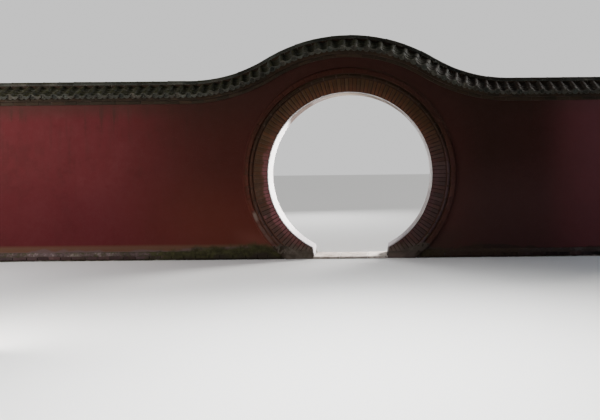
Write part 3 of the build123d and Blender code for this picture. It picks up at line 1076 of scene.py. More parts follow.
def over_wall(points):
    """Flat (run along the wall top, y, rise over it) bent over the hump."""
    run = np.abs(points[..., 0])
    side = np.sign(points[..., 0])
    rise = points[..., 2]
    crown = np.minimum(run, CROWN_RUN) / HUMP_RADIUS
    sweep = HUMP_ANGLE - (np.clip(run, CROWN_RUN, SWEEP_RUN) - CROWN_RUN) / SWEEP_RADIUS
    on_crown = run <= CROWN_RUN
    slope = np.where(on_crown, crown, sweep)
    level = np.maximum(run - SWEEP_RUN, 0.0)
    x = np.where(on_crown, HUMP_RADIUS * np.sin(crown), SWEEP_CENTRE_X - SWEEP_RADIUS * np.sin(sweep) + level)
    z = np.where(
        on_crown,
        CROWN_CENTRE_HEIGHT + HUMP_RADIUS * np.cos(crown),
        SWEEP_CENTRE_HEIGHT - SWEEP_RADIUS * np.cos(sweep),
    )
    return np.stack([side * (x + rise * np.sin(slope)), points[..., 1], z + rise * np.cos(slope)], -1)


def wall_top(x):
    """Height of the wall top under the coping."""
    x = np.abs(x)
    join = HUMP_RADIUS * math.sin(HUMP_ANGLE)
    crown = CROWN_CENTRE_HEIGHT + np.sqrt(np.maximum(HUMP_RADIUS**2 - x**2, 0.0))
    inside = np.maximum(SWEEP_RADIUS**2 - (SWEEP_CENTRE_X - x) ** 2, 0.0)
    sweep = SWEEP_CENTRE_HEIGHT - np.sqrt(inside)
    return np.where(x <= join, crown, np.where(x < SWEEP_CENTRE_X, sweep, WALL_TOP))


# Pieces

def all_points(parts):
    """Points of all parts of a piece, in one list."""
    return np.concatenate([part[0].reshape(-1, 3) for part in parts])


def clean(mesh):
    """Joins doubled points, turns the faces outward and marks the sharp edges."""
    shape = bmesh.new()
    shape.from_mesh(mesh)
    bmesh.ops.remove_doubles(shape, verts=shape.verts, dist=1e-6)
    bmesh.ops.recalc_face_normals(shape, faces=shape.faces)
    shape.to_mesh(mesh)
    shape.free()
    mesh.set_sharp_from_angle(angle=math.radians(SHARP_ANGLE))


def piece(name, nodes, slot, parts, materials, extra=None):
    """One mesh in place of CAD nodes, from parts as (points, faces, tone, edge, material place)."""
    faces = []
    places = []
    start = 0
    for points, part_faces, _, _, place in parts:
        faces.extend((np.asarray(part_faces) + start).tolist())
        places.extend([place] * len(part_faces))
        start += points.size // 3
    mesh = bpy.data.meshes.new(name)
    mesh.from_pydata(all_points(parts).tolist(), [], faces)
    for material in materials:
        mesh.materials.append(material)
    mesh.polygons.foreach_set("material_index", places)
    mesh.polygons.foreach_set("use_smooth", [True] * len(places))
    tones, edges = (np.concatenate([part[item] for part in parts]) for item in (2, 3))
    values = {"tone": tones, "edge": edges} | (extra or {})
    for label, numbers in values.items():
        layer = mesh.attributes.new(label, "FLOAT", "POINT")
        layer.data.foreach_set("value", np.asarray(numbers, np.float32).reshape(-1))
    clean(mesh)
    made = bpy.data.objects.new(name, mesh)
    bpy.context.scene.collection.objects.link(made)
    weighted = made.modifiers.new("weighted normals", "WEIGHTED_NORMAL")
    weighted.keep_sharp = True
    if slot in OPENING_SLOTS:
        OPENING_PIECES.objects.link(made)
    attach(made, "root")
    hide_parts(*nodes)


def ring_core(start, end):
    """Mortar behind and between the ring's bricks."""
    steps = max(3, int(abs(end - start) / RING_BRICK_ANGLE) + 1)
    angle, radius = grid_of(
        np.radians(np.linspace(start, end, steps)),
        np.linspace(RING_INNER + 0.002, RING_OUTER - 0.003, 4),
    )
    face = RING_FACE - MORTAR_SET_BACK
    near, far = (over_ground(clear_of_doorway(round_centre(angle, radius, y), LINING)) for y in (-face, face))
    return slab(near, far)


def render_face(radius):
    """How far out the render on the ring's foot lies: level with the ring and hoods, sloped between them."""
    edge = 0.01
    profile = (
        (RING_OUTER - edge, RING_FACE),
        (INNER_HOOD[0] + edge, INNER_HOOD_FACE),
        (INNER_HOOD[1] - edge, INNER_HOOD_FACE),
        (OUTER_HOOD[0] + edge, OUTER_HOOD_FACE),
        (OUTER_HOOD[1] - edge, OUTER_HOOD_FACE),
        (OUTER_HOOD[1], OUTER_HOOD_FACE - 0.006),
    )
    return np.interp(radius, *zip(*profile))


def foot_render(sign, side):
    """Render smeared over one foot of the ring and its hoods, which thins out into the grooves and joints."""
    across, z = grid_of(np.linspace(0.0, 1.0, 60), np.linspace(0.0, FOOT_RENDER_TOP + 0.08, 40))
    inside = np.maximum(circle_side(RING_INNER, z), doorway_side(z, LINING)) + 0.003
    outside = circle_side(OUTER_HOOD[1], z) - 0.003
    x = inside + (outside - inside) * across
    radius = np.hypot(x, z - CENTRE_HEIGHT)
    flat = np.stack([x * sign, np.full_like(x, side * 0.7), z], -1)
    ragged = lumps(flat, 0.16, True)[..., 0] * 0.05 + lumps(flat, 0.04)[..., 1] * 0.012
    top = np.interp(radius, [RING_OUTER - 0.06, RING_OUTER + 0.02], [FOOT_RENDER_TOP - 0.09, FOOT_RENDER_TOP])
    over = np.clip((z - top - ragged) / 0.09 + 0.5, 0.0, 1.0)
    thickness = 0.005 - 0.06 * over**1.5 + lumps(flat, 0.07)[..., 2] * 0.0015
    near = np.stack([sign * x, side * (render_face(radius) + thickness), z], -1)
    far = np.stack([sign * x, np.full_like(x, side * (WALL_FACE - 0.04)), z], -1)
    return slab(near, far)


def ring_bricks(node, start, end):
    """Bricks set on end along the radius, front and back, on a mortar core."""
    middle = (RING_INNER + RING_OUTER) / 2
    count = round(abs(end - start) / RING_BRICK_ANGLE)
    pitch = (end - start) / count
    angles = np.radians(start + pitch * (np.arange(count) + 0.5))
    width = math.radians(abs(pitch)) * middle - JOINT
    chance = seeded(node)
    parts = []
    for side in (-1, 1):
        proud = chance.normal(0, 0.0015, count)
        centres = np.stack([
            angles * middle,
            np.full(count, middle) + chance.normal(0, 0.0012, count),
            side * (RING_FACE - BRICK_THICKNESS / 2 + proud),
        ], -1)
        sizes = np.stack([
            width * chance.uniform(0.93, 1.04, count),
            np.full(count, RING_OUTER - RING_INNER - 0.003),
            np.full(count, BRICK_THICKNESS),
        ], -1)
        made = blocks(centres, sizes, rounding=0.006, cells=(4, 7, 3), label=f"{node}{side}")
        points = over_ground(clear_of_doorway(round_ring(made[0], middle), LINING))
        parts.append((points, *made[1:], 0))
    parts.append((*ring_core(start, end), 1))
    if node.startswith("ring_foot"):
        parts += [(*foot_render(math.copysign(1.0, start), side), 2) for side in (-1, 1)]
    inner = np.clip((RING_INNER + 0.15 - radius_of(all_points(parts))) / 0.11, 0.0, 1.0)
    materials = [RING_BRICK, RING_MORTAR, FOOT_RENDER]
    piece(f"{node}_bricks", [node], "ring_brick", parts, materials, {"inner": inner})


def brick_ring():
    """The ring in the same pieces as the frame."""
    ring_bricks("ring_crown", -30, 30)
    for side, sign in SIDES:
        ring_bricks(f"ring_shoulder_{side}", 30 * sign, 75 * sign)
        ring_bricks(f"ring_side_{side}", 75 * sign, 120 * sign)
        ring_bricks(f"ring_foot_{side}", 120 * sign, RING_END_ANGLE * sign)


# Where the hood is bare brick: angle from the top, half its length, both in degrees, and how bare it is
BARE_STRETCHES = ((-113.8, 2.6, 0.95), (-124.0, 7.0, 0.3))


def hood_wear(points):
    """How bare and how painted each point of a hood is, on the front and the back."""
    angle = np.degrees(np.arctan2(points[:, 0], points[:, 2] - CENTRE_HEIGHT))
    radius = radius_of(points)
    on_outer = radius > INNER_HOOD[1]
    shift = lumps(points, 0.09)[:, 0]
    edge = np.clip((radius + 0.008 * shift - OUTER_HOOD[1] + 0.034) / 0.012, 0.0, 1.0)
    top = np.clip((75.0 + 14.0 * shift - np.abs(angle)) / 25.0, 0.0, 1.0) * on_outer
    painted = np.maximum(edge, 0.6 * top)
    bare = sum(share * np.exp(-((angle - place) / reach) ** 4) for place, reach, share in BARE_STRETCHES)
    bare = bare * (1.0 - edge) * on_outer * (points[:, 1] < 0) * (1.0 + 0.5 * shift)
    return {"bare": np.clip(bare, 0.0, 1.0), "painted": painted}


def hood_strip(radii, end, root, flush):
    """Strip of mortar behind and between a hood's bricks."""
    angle, radius = grid_of(np.linspace(-end, end, 140), np.linspace(radii[0] + 0.006, radii[1] - 0.006, 3))
    near, far = (over_ground(round_centre(angle, radius, y)) for y in (flush, root))
    return slab(near, far)


def hood_course(name, radii, face, rounding, materials):
    """Course of rounded bricks round the ring, front or back, on a strip of mortar."""
    middle = sum(radii) / 2
    end = angle_down_to(0.0, radii[0])
    count = round(2 * end * middle / HOOD_BRICK_LENGTH)
    pitch = 2 * end / count
    angles = -end + pitch * (np.arange(count) + 0.5)
    root = WALL_FACE - 0.02
    for label, side in FACES:
        node = f"{name}_{label}"
        chance = seeded(node)
        centres = np.stack([
            angles * middle,
            middle + chance.normal(0, 0.001, count),
            side * ((root + face) / 2 + chance.normal(0, 0.0012, count)),
        ], -1)
        sizes = np.stack([
            pitch * middle - THIN_JOINT * chance.uniform(0.6, 1.4, count),
            np.full(count, radii[1] - radii[0]),
            np.full(count, face - root),
        ], -1)
        made = blocks(centres, sizes, rounding, cells=(9, 5, 4), label=node, wear=0.0018, tilt=0.25)
        strip = hood_strip(radii, end, side * root, side * (face - MORTAR_SET_BACK))
        parts = [(over_ground(round_ring(made[0], middle)), *made[1:], 0), (*strip, 1)]
        piece(f"{node}_bricks", [node], "hood_brick", parts, materials, hood_wear(all_points(parts)))


def plaster_relief(points, side):
    """Front or back face of the plaster, with slow waves and small dents."""
    waves = lumps(points * np.array([1.0, 0.0, 1.0]) + (side * 3.0, 0.0, 0.0), 0.8)[..., 1] * 0.006
    dents = lumps(points + (0.0, side * 5.0, 0.0), 0.11)[..., 1] * 0.0015
    moved = points.copy()
    moved[..., 1] = side * (WALL_FACE + waves + dents)
    return moved


def hood_fillet(start, end):
    """Plaster that runs up against the outer hood, front and back."""
    last = angle_down_to(FOOTING_TOP, OUTER_HOOD[1]) - 0.01
    out = np.array([-0.004, 0.006, 0.014, 0.024, 0.038])
    rise = np.array([0.034, 0.024, 0.013, 0.004, -0.012])
    angle, step = grid_of(np.linspace(*np.clip((start, end), -last, last), 90), out)
    parts = []
    for side in (-1, 1):
        flat = round_centre(angle, OUTER_HOOD[1] + step, 0.0)
        uneven = 1.0 + 0.35 * lumps(flat + (0.0, side, 0.0), 0.15, True)[..., 0]
        near, far = flat.copy(), flat.copy()
        near[..., 1] = side * (WALL_FACE + np.interp(step, out, rise) * uneven)
        far[..., 1] = side * (WALL_FACE - 0.03)
        parts.append((*slab(near, far), 0))
    return parts


# How full the grooves beside the inner hood are: angles from the top, and shares of the groove's depth
GROOVE_FILL_ANGLES = (-139, -112, -84)
GROOVE_FILL_SHARES = (0.95, 0.8, 0.0)


def groove_fill():
    """Mortar that fills the grooves beside the inner hood at the front, low on the left."""
    grooves = (
        (RING_OUTER - 0.003, INNER_HOOD[0] + 0.003, RING_FACE - WALL_FACE),
        (INNER_HOOD[1] - 0.003, OUTER_HOOD[0] + 0.003, INNER_HOOD_FACE - WALL_FACE),
    )
    parts = []
    for inner, outer, depth in grooves:
        along = np.linspace(GROOVE_FILL_ANGLES[0], GROOVE_FILL_ANGLES[-1], 100)
        degrees, radius = grid_of(along, np.linspace(inner, outer, 4))
        near = round_centre(np.radians(degrees), radius, 0.0)
        full = np.interp(degrees, GROOVE_FILL_ANGLES, GROOVE_FILL_SHARES)
        full = full + 0.3 * lumps(near, 0.12, True)[..., 0]
        far = near.copy()
        near[..., 1] = -WALL_FACE - (depth - 0.003) * np.clip(full, 0.05, 1.0)
        far[..., 1] = 0.02 - WALL_FACE
        parts.append((*slab(near, far), 0))
    return parts


def plaster_sheet(name, nodes, x, z, parts=()):
    """Plastered wall between its two faces, over a grid of places, with any other parts."""
    flat = np.stack([x, np.zeros_like(x), z], -1)
    sheet = slab(plaster_relief(flat, -1), plaster_relief(flat, 1))
    parts = [(*sheet, 0), *parts]
    points = all_points(parts)
    drop = wall_top(points[:, 0]) - points[:, 2]
    from_ring = radius_of(points) - OUTER_HOOD[1]
    piece(name, nodes, "red_plaster", parts, [RED_PLASTER], {"drop": drop, "from_ring": from_ring})


# Farther from the opening's centre than any edge of the gate wall
PAST_GATE_WALL = 5.0


def ray_end(angle):
    """How far a ray from the opening's centre runs before it leaves the gate wall."""
    across, up = np.sin(angle), np.cos(angle)
    to_side = GATE_HALF_WIDTH / np.maximum(np.abs(across), TINY)
    to_foot = np.where(up < -TINY, (CENTRE_HEIGHT - FOOTING_TOP) / np.maximum(-up, TINY), np.inf)
    far = np.minimum(np.minimum(to_side, to_foot), PAST_GATE_WALL)
    low = np.full_like(angle, RING_OUTER)
    high = far.copy()
    for _ in range(40):
        middle = (low + high) / 2
        inside = CENTRE_HEIGHT + middle * up <= wall_top(middle * across)
        low = np.where(inside, middle, low)
        high = np.where(inside, high, middle)
    return np.where(CENTRE_HEIGHT + far * up <= wall_top(far * across), far, low)


def gate_plaster():
    """Gate wall from the ring out to the hump, the footing and the level walls."""
    last = angle_down_to(FOOTING_TOP, RING_OUTER) - 0.002
    shoulder = math.atan2(GATE_HALF_WIDTH, WALL_TOP - CENTRE_HEIGHT)
    heel = math.atan2(GATE_HALF_WIDTH, FOOTING_TOP - CENTRE_HEIGHT)
    crown_end = math.acos((CROWN_WALL_FOOT - CENTRE_HEIGHT) / RING_OUTER)
    spans = {
        "gate_wall_crown": (-crown_end, crown_end, 60),
        "gate_wall_right": (crown_end, last, 72),
        "gate_wall_left": (-last, -crown_end, 72),
    }
    inner = RING_OUTER - 0.004
    for node, (start, end, steps) in spans.items():
        corners = [a for a in (-heel, -shoulder, shoulder, heel) if start < a < end]
        angles = np.array(sorted([*np.linspace(start, end, steps), *corners]))
        angle, share = grid_of(angles, np.linspace(0.0, 1.0, 19))
        radius = inner + (ray_end(angle) - RING_OUTER + 0.004) * share
        x, z = radius * np.sin(angle), CENTRE_HEIGHT + radius * np.cos(angle)
        parts = hood_fillet(start, end) + (groove_fill() if node == "gate_wall_left" else [])
        plaster_sheet(f"{node}_plaster", [node], x, z, parts)


def level_plaster():
    """Level walls on both sides of the gate."""
    for side, sign in SIDES:
        along = sign * np.linspace(GATE_HALF_WIDTH, HALF_LENGTH, 56)
        x, z = grid_of(along, np.linspace(FOOTING_TOP, WALL_TOP, 45))
        plaster_sheet(f"wall_{side}_plaster", [f"wall_{side}"], x, z)


# Depths at which the lining has points, as shares of half the wall's thickness
LINING_CUTS = np.array([-1.0, -0.992, -0.96, -0.8, -0.5, -0.2, 0.2, 0.5, 0.8, 0.96, 0.992, 1.0])


def softened(y):
    """How far the lining draws back at its front and back edges."""
    return np.interp(np.abs(y) / WALL_FACE, [0.0, 0.96, 0.992, 1.0], [0.0, 0.0, 0.002, 0.006])


def lining_arc(node, inner_ends, outer_ends, steps):
    """Plaster round part of the opening, with softened front and back edges."""
    share, y = grid_of(np.linspace(0.0, 1.0, steps), WALL_FACE * LINING_CUTS)
    inner = inner_ends[0] + (inner_ends[1] - inner_ends[0]) * share
    outer = outer_ends[0] + (outer_ends[1] - outer_ends[0]) * share
    flat = np.stack([np.sin(inner) * OPENING_RADIUS, y, np.cos(inner) * OPENING_RADIUS], -1)
    hollow = lumps(flat, 0.25)[..., 0] * 0.002 + lumps(flat, 0.06)[..., 1] * 0.001
    near = round_centre(inner, OPENING_RADIUS + 0.001 + softened(y) + hollow, y)
    part = slab(near, round_centre(outer, RING_INNER, y))
    piece(f"{node}_plaster", [node], "lining_plaster", [(*part, 0)], [LINING_PLASTER])


def lining_jamb(node, sign):
    """Plaster on one side of the doorway, softened at its front and back edges."""
    share, y = grid_of(np.linspace(0.0, 1.0, 9), WALL_FACE * LINING_CUTS)
    z = THRESHOLD_TOP + share * (doorway_top(OPENING_RADIUS, 0.0) - THRESHOLD_TOP)
    back_z = THRESHOLD_TOP + share * (doorway_top(RING_INNER, LINING) - THRESHOLD_TOP)
    hollow = lumps(np.stack([np.zeros_like(y), y, z], -1), 0.06)[..., 0] * 0.0015
    near = np.stack([sign * (doorway_side(z) + 0.001 + softened(y) + hollow), y, z], -1)
    far = np.stack([sign * doorway_side(back_z, LINING), y, back_z], -1)
    piece(f"{node}_plaster", [node], "lining_plaster", [(*slab(near, far), 0)], [LINING_PLASTER])


def linings():
    """Pale plaster inside the opening."""
    quarter = math.radians(45)
    inner_end = math.acos((doorway_top(OPENING_RADIUS, 0.0) - CENTRE_HEIGHT) / OPENING_RADIUS)
    outer_end = math.acos((doorway_top(RING_INNER, LINING) - CENTRE_HEIGHT) / RING_INNER)
    lining_arc("lining_crown", (-quarter, quarter), (-quarter, quarter), 50)
    for side, sign in SIDES:
        inner_ends = (sign * quarter, sign * inner_end)
        outer_ends = (sign * quarter, sign * outer_end)
        lining_arc(f"lining_side_{side}", inner_ends, outer_ends, 60)
        lining_jamb(f"lining_jamb_{side}", sign)


# Where the threshold's slabs meet, on X
THRESHOLD_JOINTS = (-0.2, 0.31)


def threshold():
    """Three worn slabs between the feet of the ring, dished where people walk."""
    half_width = doorway_side(0.0, LINING)
    ends = np.array([-half_width, *THRESHOLD_JOINTS, half_width])
    centres = np.stack([(ends[:-1] + ends[1:]) / 2, np.zeros(3), np.full(3, THRESHOLD_TOP / 2)], -1)
    sizes = np.stack([np.diff(ends) - 0.005, np.full(3, 2 * FOOTING_FACE), np.full(3, THRESHOLD_TOP)], -1)
    made = blocks(centres, sizes, rounding=0.005, cells=(16, 20, 3), label="threshold", wear=0.0008, tilt=0.0)
    points = over_ground(made[0])
    points[..., 0] *= 1.0 + JAMB_LEAN * points[..., 2] / half_width
    across, up = points[..., 0], points[..., 2]
    points[..., 2] -= 0.006 * np.clip(1 - (across / 0.6) ** 2, 0, 1) * np.clip(up / THRESHOLD_TOP, 0, 1)
    piece("threshold_slabs", ["threshold"], "threshold_stone", [(points, *made[1:], 0)], [THRESHOLD_STONE])


def foot_row(label, sign, low, high, face_out, lengths, gap):
    """Row of stones or bricks of uneven length along the foot of the wall, front and back."""
    parts = []
    cells = (12 if lengths[1] > 0.3 else 7, 4, 5)
    for side in (-1, 1):
        chance = seeded(f"{label} {side}")
        cuts = [circle_side(OUTER_HOOD[1], (low + high) / 2) + gap]
        while cuts[-1] < HALF_LENGTH - 1.3 * lengths[1]:
            cuts.append(cuts[-1] + chance.uniform(*lengths))
        cuts = np.array([*cuts, HALF_LENGTH])
        count = len(cuts) - 1
        out = face_out - chance.uniform(0.0, FOOT_ROW_WEAR * 1.5, count)
        top = high - chance.uniform(0.0, FOOT_ROW_WEAR * 0.8, count)
        middle = side * (out - FOOT_ROW_DEPTH / 2)
        centres = np.stack([sign * (cuts[:-1] + cuts[1:]) / 2, middle, (low + top) / 2], -1)
        sizes = np.stack([np.diff(cuts) - gap, np.full(count, FOOT_ROW_DEPTH), top - low], -1)
        made = blocks(centres, sizes, gap, cells, f"{label} {side}", wear=FOOT_ROW_WEAR * 0.7, tilt=0.3)
        parts.append((over_ground(made[0]), *made[1:]))
    return parts


# Profile of the mortar over the foot row: height, and how far out
FOOT_SLOPE = (
    (FOOT_ROW_TOP - 0.03, FOOTING_FACE - 0.03),
    (FOOT_ROW_TOP + 0.002, FOOTING_FACE - 0.017),
    (0.118, WALL_FACE + 0.019),
    (0.138, WALL_FACE + 0.011),
    (0.152, WALL_FACE + 0.006),
    (0.164, WALL_FACE - 0.008),
)


def foot_slope(sign):
    """Uneven mortar that slopes from the foot row up to the plaster, front and back."""
    heights, outs = np.array(FOOT_SLOPE).T
    share, z = grid_of(np.linspace(0.0, 1.0, 150), heights)
    start = circle_side(OUTER_HOOD[1], z) + 0.002
    x = sign * (start + (HALF_LENGTH - 0.004 - start) * share)
    parts = []
    for side in (-1, 1):
        uneven = lumps(np.stack([x, np.full_like(x, side), z], -1), 0.09, True)
        low = z < FOOT_ROW_TOP
        out = np.interp(z, heights, outs) + np.where(low, 0.0, 0.005 * uneven[..., 0])
        up = z + np.where(low, 0.0, 0.006 * uneven[..., 1])
        near = np.stack([x, side * out, up], -1)
        far = np.stack([x, np.full_like(x, side * (WALL_FACE - 0.03)), z], -1)
        parts.append((*slab(near, far), 3))
    return parts


def foot_core(sign):
    """Mortar inside the footing, from the ring out to the wall's end."""
    along = sign * np.linspace(RING_OUTER - 0.95, HALF_LENGTH - 0.004, 60)
    x, z = grid_of(along, np.linspace(0.0, FOOTING_TOP - 0.004, 3))
    x = sign * np.maximum(np.abs(x), circle_side(RING_OUTER, z) + 0.002)
    face = np.full_like(x, WALL_FACE - 0.005)
    return slab(np.stack([x, -face, z], -1), np.stack([x, face, z], -1))


def footings():
    """Thin kerb with a row of small dark bricks on it and mortar over them, cut off at the ring."""
    materials = [FOOTING_STONE, FOOT_BRICK, JOINT_MORTAR, FOOT_MORTAR]
    for side, sign in SIDES:
        kerb = foot_row(
            f"kerb {side}",
            sign,
            low=0.0,
            high=KERB_HEIGHT,
            face_out=FOOTING_FACE,
            lengths=KERB_LENGTHS,
            gap=0.01,
        )
        row = foot_row(
            f"foot bricks {side}",
            sign,
            low=KERB_HEIGHT + 0.004,
            high=FOOT_ROW_TOP,
            face_out=FOOTING_FACE - 0.012,
            lengths=FOOT_BRICK_LENGTHS,
            gap=0.008,
        )
        parts = [(*part, 0) for part in kerb] + [(*part, 1) for part in row] + foot_slope(sign)
        parts.append((*foot_core(sign), 2))
        piece(f"footing_{side}_stones", [f"footing_{side}"], "footing_stone", parts, materials)


# The coping's three stretches: name, and run along the wall top where each starts and ends
STRETCHES = (("left", -END_RUN, -GATE_RUN), ("hump", -GATE_RUN, GATE_RUN), ("right", GATE_RUN, END_RUN))


def coping_core(start, end, face, low, high):
    """Plain mortar core along a stretch of the coping."""
    steps = max(2, round((end - start) / COPING_STEP))
    run, rise = grid_of(np.linspace(start, end, steps), (low, high))
    near, far = (over_wall(np.stack([run, np.full_like(run, y), rise], -1)) for y in (-face, face))
    return slab(near, far)


def brick_course(label, start, end, face, low, high, shift):
    """Course of bricks on both faces of a stretch of the coping, its joints shifted by a share of a brick."""
    parts = []
    count = round((end - start) / CORBEL_BRICK_LENGTH)
    pitch = (end - start) / count
    joints = start + pitch * np.arange(1, count) + shift * pitch * (-1 if start > 0 else 1)
    cuts = np.array([start, *joints, end])
    depth = min(BRICK_THICKNESS, face - 0.002)
    for side in (-1, 1):
        chance = seeded(f"{label}{side}")
        centres = np.stack([
            (cuts[:-1] + cuts[1:]) / 2,
            side * (face - depth / 2 + chance.normal(0, 0.0018, count)),
            np.full(count, (low + high) / 2) + chance.normal(0, 0.0008, count),
        ], -1)
        sizes = np.stack([
            np.diff(cuts) - CORBEL_JOINT,
            np.full(count, depth),
            np.full(count, high - low - THIN_JOINT),
        ], -1)
        made = blocks(centres, sizes, 0.006, (8, 4, 4), f"{label}{side}", wear=0.0018, tilt=0.2)
        parts.append((over_wall(made[0]), *made[1:], 0))
    return parts


def corbels():
    """Two courses of brick under the eaves."""
    courses = (
        ("corbel_lower", LOWER_CORBEL_FACE, 0.0, LOWER_CORBEL_RISE, 0.0),
        ("corbel_upper", UPPER_CORBEL_FACE, LOWER_CORBEL_RISE, UPPER_CORBEL_RISE, 0.45),
    )
    for name, face, low, high, shift in courses:
        for stretch, start, end in STRETCHES:
            node = f"{name}_{stretch}"
            parts = brick_course(node, start, end, face, low, high, shift)
            parts.append((*coping_core(start, end, face - MORTAR_SET_BACK, low, high), 1))
            piece(f"{node}_bricks", [node], "corbel_brick", parts, [CORBEL_BRICK, JOINT_MORTAR])


def on_slope(run, up, off, side):
    """Flat places (run, distance up the slope from the eave, height off it) on the front or back slope."""
    y = -EAVE_FACE + up * math.cos(ROOF_SLOPE) - off * math.sin(ROOF_SLOPE)
    rise = EAVE_RISE + up * math.sin(ROOF_SLOPE) + off * math.cos(ROOF_SLOPE)
    return over_wall(np.stack([run, -side * y, rise], -1))


def cover_tiles(runs, side, label):
    """Half-round tiles over the joints between the pan tiles, in two lapped lengths up the slope."""
    parts = []
    chance = seeded(label)
    arc = np.radians(np.linspace(-8, 188, 11))
    swell = np.array([0.94, 1.0, 0.97, 0.92])
    count = len(runs)
    for course, (low, high) in enumerate(((EAVE_INSET, 0.2), (0.185, SLOPE_LENGTH + 0.01))):
        along = np.array([low, low + 0.006, (low + high) / 2, high])
        angle, up = grid_of(arc, along)
        size = np.interp(up, along, swell)
        jitter = chance.normal(0, 0.0025, (count, 1, 1))
        scale = chance.uniform(0.96, 1.04, (count, 1, 1))
        lift = COVER_TILE_LIFT + 0.004 * course
        middles = np.asarray(runs)[:, None, None] + jitter
        grids = []
        for radius in (COVER_TILE_RADIUS, COVER_TILE_RADIUS - COVER_TILE_THICKNESS):
            across = middles + np.cos(angle)[None] * radius * size[None] * scale
            off = lift + np.sin(angle)[None] * radius * size[None] * scale * 1.02
            grids.append(on_slope(across, np.broadcast_to(up, across.shape), off, side))
        parts.append((*slabs(*grids, f"{label}{course}"), 0))
    return parts


def pan_tiles(middles, half_width, side, label):
    """Hollow tiles between the cover rows, lapped up the slope in short steps."""
    parts = []
    chance = seeded(label)
    show = SLOPE_LENGTH / PAN_TILE_COURSES
    length = show + PAN_TILE_LAP
    count = len(middles)
    across, up = grid_of(np.linspace(-1, 1, 7), (0.0, length))
    sag = PAN_TILE_SAG * across**2
    lap = 0.012 * (1 - up / length)
    for course in range(PAN_TILE_COURSES):
        shift = chance.normal(0, 0.002, (count, 1, 1))
        run = np.asarray(middles)[:, None, None] + shift + across[None] * half_width
        height = np.broadcast_to((PAN_TILE_LIFT + sag + lap)[None], run.shape)
        height = height + chance.normal(0, 0.0012, (count, 1, 1))
        place = np.broadcast_to((up + course * show + 0.01)[None], run.shape)
        near = on_slope(run, place, height + PAN_TILE_THICKNESS, side)
        far = on_slope(run, place, height, side)
        parts.append((*slabs(near, far, f"{label}{course}"), 0))
    return parts


# Profile of an eave disc, from its middle out and round its rim to the back: radius as a share of a cover
# tile's, how far it stands out, and how near it is to an edge
EAVE_DISC = (
    (0.0, 0.007, 0.0),
    (0.3, 0.006, 0.0),
    (0.36, 0.002, 0.0),
    (0.74, 0.002, 0.0),
    (0.8, 0.009, 1.0),
    (1.04, 0.009, 1.0),
    (1.1, 0.005, 1.0),
    (1.1, -0.012, 0.0),
    (0.0, -0.012, 0.0),
)


def eave_discs(runs, side, label):
    """Plain round ends with a raised rim and a low boss, which close the lowest cover tiles."""
    radii, out, edge = np.array(EAVE_DISC).T
    radii = COVER_TILE_RADIUS * radii
    angles = np.linspace(0, 2 * math.pi, 17)[:-1]
    angle, ring = np.meshgrid(angles, np.arange(len(radii)), indexing="xy")
    count = len(runs)
    across = np.asarray(runs)[:, None, None] + (np.cos(angle) * radii[ring])[None]
    off = COVER_TILE_LIFT + (np.sin(angle) * radii[ring])[None]
    up = -out[ring][None] + EAVE_INSET
    points = on_slope(across, np.broadcast_to(up, across.shape), np.broadcast_to(off, across.shape), side)
    rings, spokes = len(radii), len(angles)
    place = np.arange(rings * spokes).reshape(rings, spokes)
    after = np.roll(place, -1, axis=1)
    quads = np.stack([place[:-1], after[:-1], after[1:], place[1:]], -1).reshape(-1, 4)
    faces = (quads[None] + (np.arange(count) * rings * spokes)[:, None, None]).reshape(-1, 4)
    tone = np.repeat(seeded(label).random(count), rings * spokes)
    return [(points, faces, tone, np.tile(np.repeat(edge, spokes), count), 0)]


def drip_tiles(middles, half_width, side, label):
    """Short pointed lips that hang from the lowest pan tiles."""
    across, down = grid_of(np.linspace(-1, 1, 11), (0.0, 0.5, 1.0))
    depth = 0.016 + 0.03 * (1 - np.abs(across) ** 1.4)
    top = 0.02 + PAN_TILE_SAG * across**2
    run = np.asarray(middles)[:, None, None] + across[None] * half_width * 0.96
    lean = down * depth
    grids = []
    for thickness in (-0.006, 0.005):
        y = EAVE_FACE + thickness + 0.1 * lean
        rise = EAVE_RISE + top / math.cos(ROOF_SLOPE) + 0.002 - lean
        y = np.broadcast_to(side * y[None], run.shape)
        grids.append(over_wall(np.stack([run, y, np.broadcast_to(rise[None], run.shape)], -1)))
    return [(*slabs(*grids, label), 0)]


def roof_bedding(start, end, side):
    """Mortar under the tiles."""
    steps = max(2, round((end - start) / COPING_STEP))
    run, up = grid_of(np.linspace(start, end, steps), (EAVE_INSET, SLOPE_LENGTH))
    near, far = (on_slope(run, up, np.full_like(run, off), side) for off in (0.016, 0.001))
    return [(*slab(near, far), 1)]


def tiled_slopes():
    """Cover tiles, pan tiles, eave discs and drip tiles on each slope."""
    for stretch, start, end in STRETCHES:
        inset = 0.0 if stretch == "hump" else COVER_TILE_RADIUS * 1.1
        first = start + (inset if stretch == "left" else 0.0)
        last = end - (inset if stretch == "right" else 0.0)
        count = round((last - first) / TILE_ROW_PITCH)
        rows = np.linspace(first, last, count + 1)
        middles = (rows[:-1] + rows[1:]) / 2
        half_width = (rows[1] - rows[0]) / 2 - PAN_TILE_GAP
        covers = {"left": rows[:-1], "hump": rows, "right": rows[1:]}[stretch]
        for face, side in FACES:
            node = f"tiles_{stretch}_{face}"
            parts = cover_tiles(covers, side, f"{node} covers")
            parts += pan_tiles(middles, half_width, side, f"{node} pans")
            parts += eave_discs(covers, side, f"{node} discs")
            parts += drip_tiles(middles, half_width, side, f"{node} drips")
            parts += roof_bedding(start, end, side)
            piece(f"{node}_rows", [node], "roof_tile", parts, [ROOF_TILE, ROOF_MORTAR])


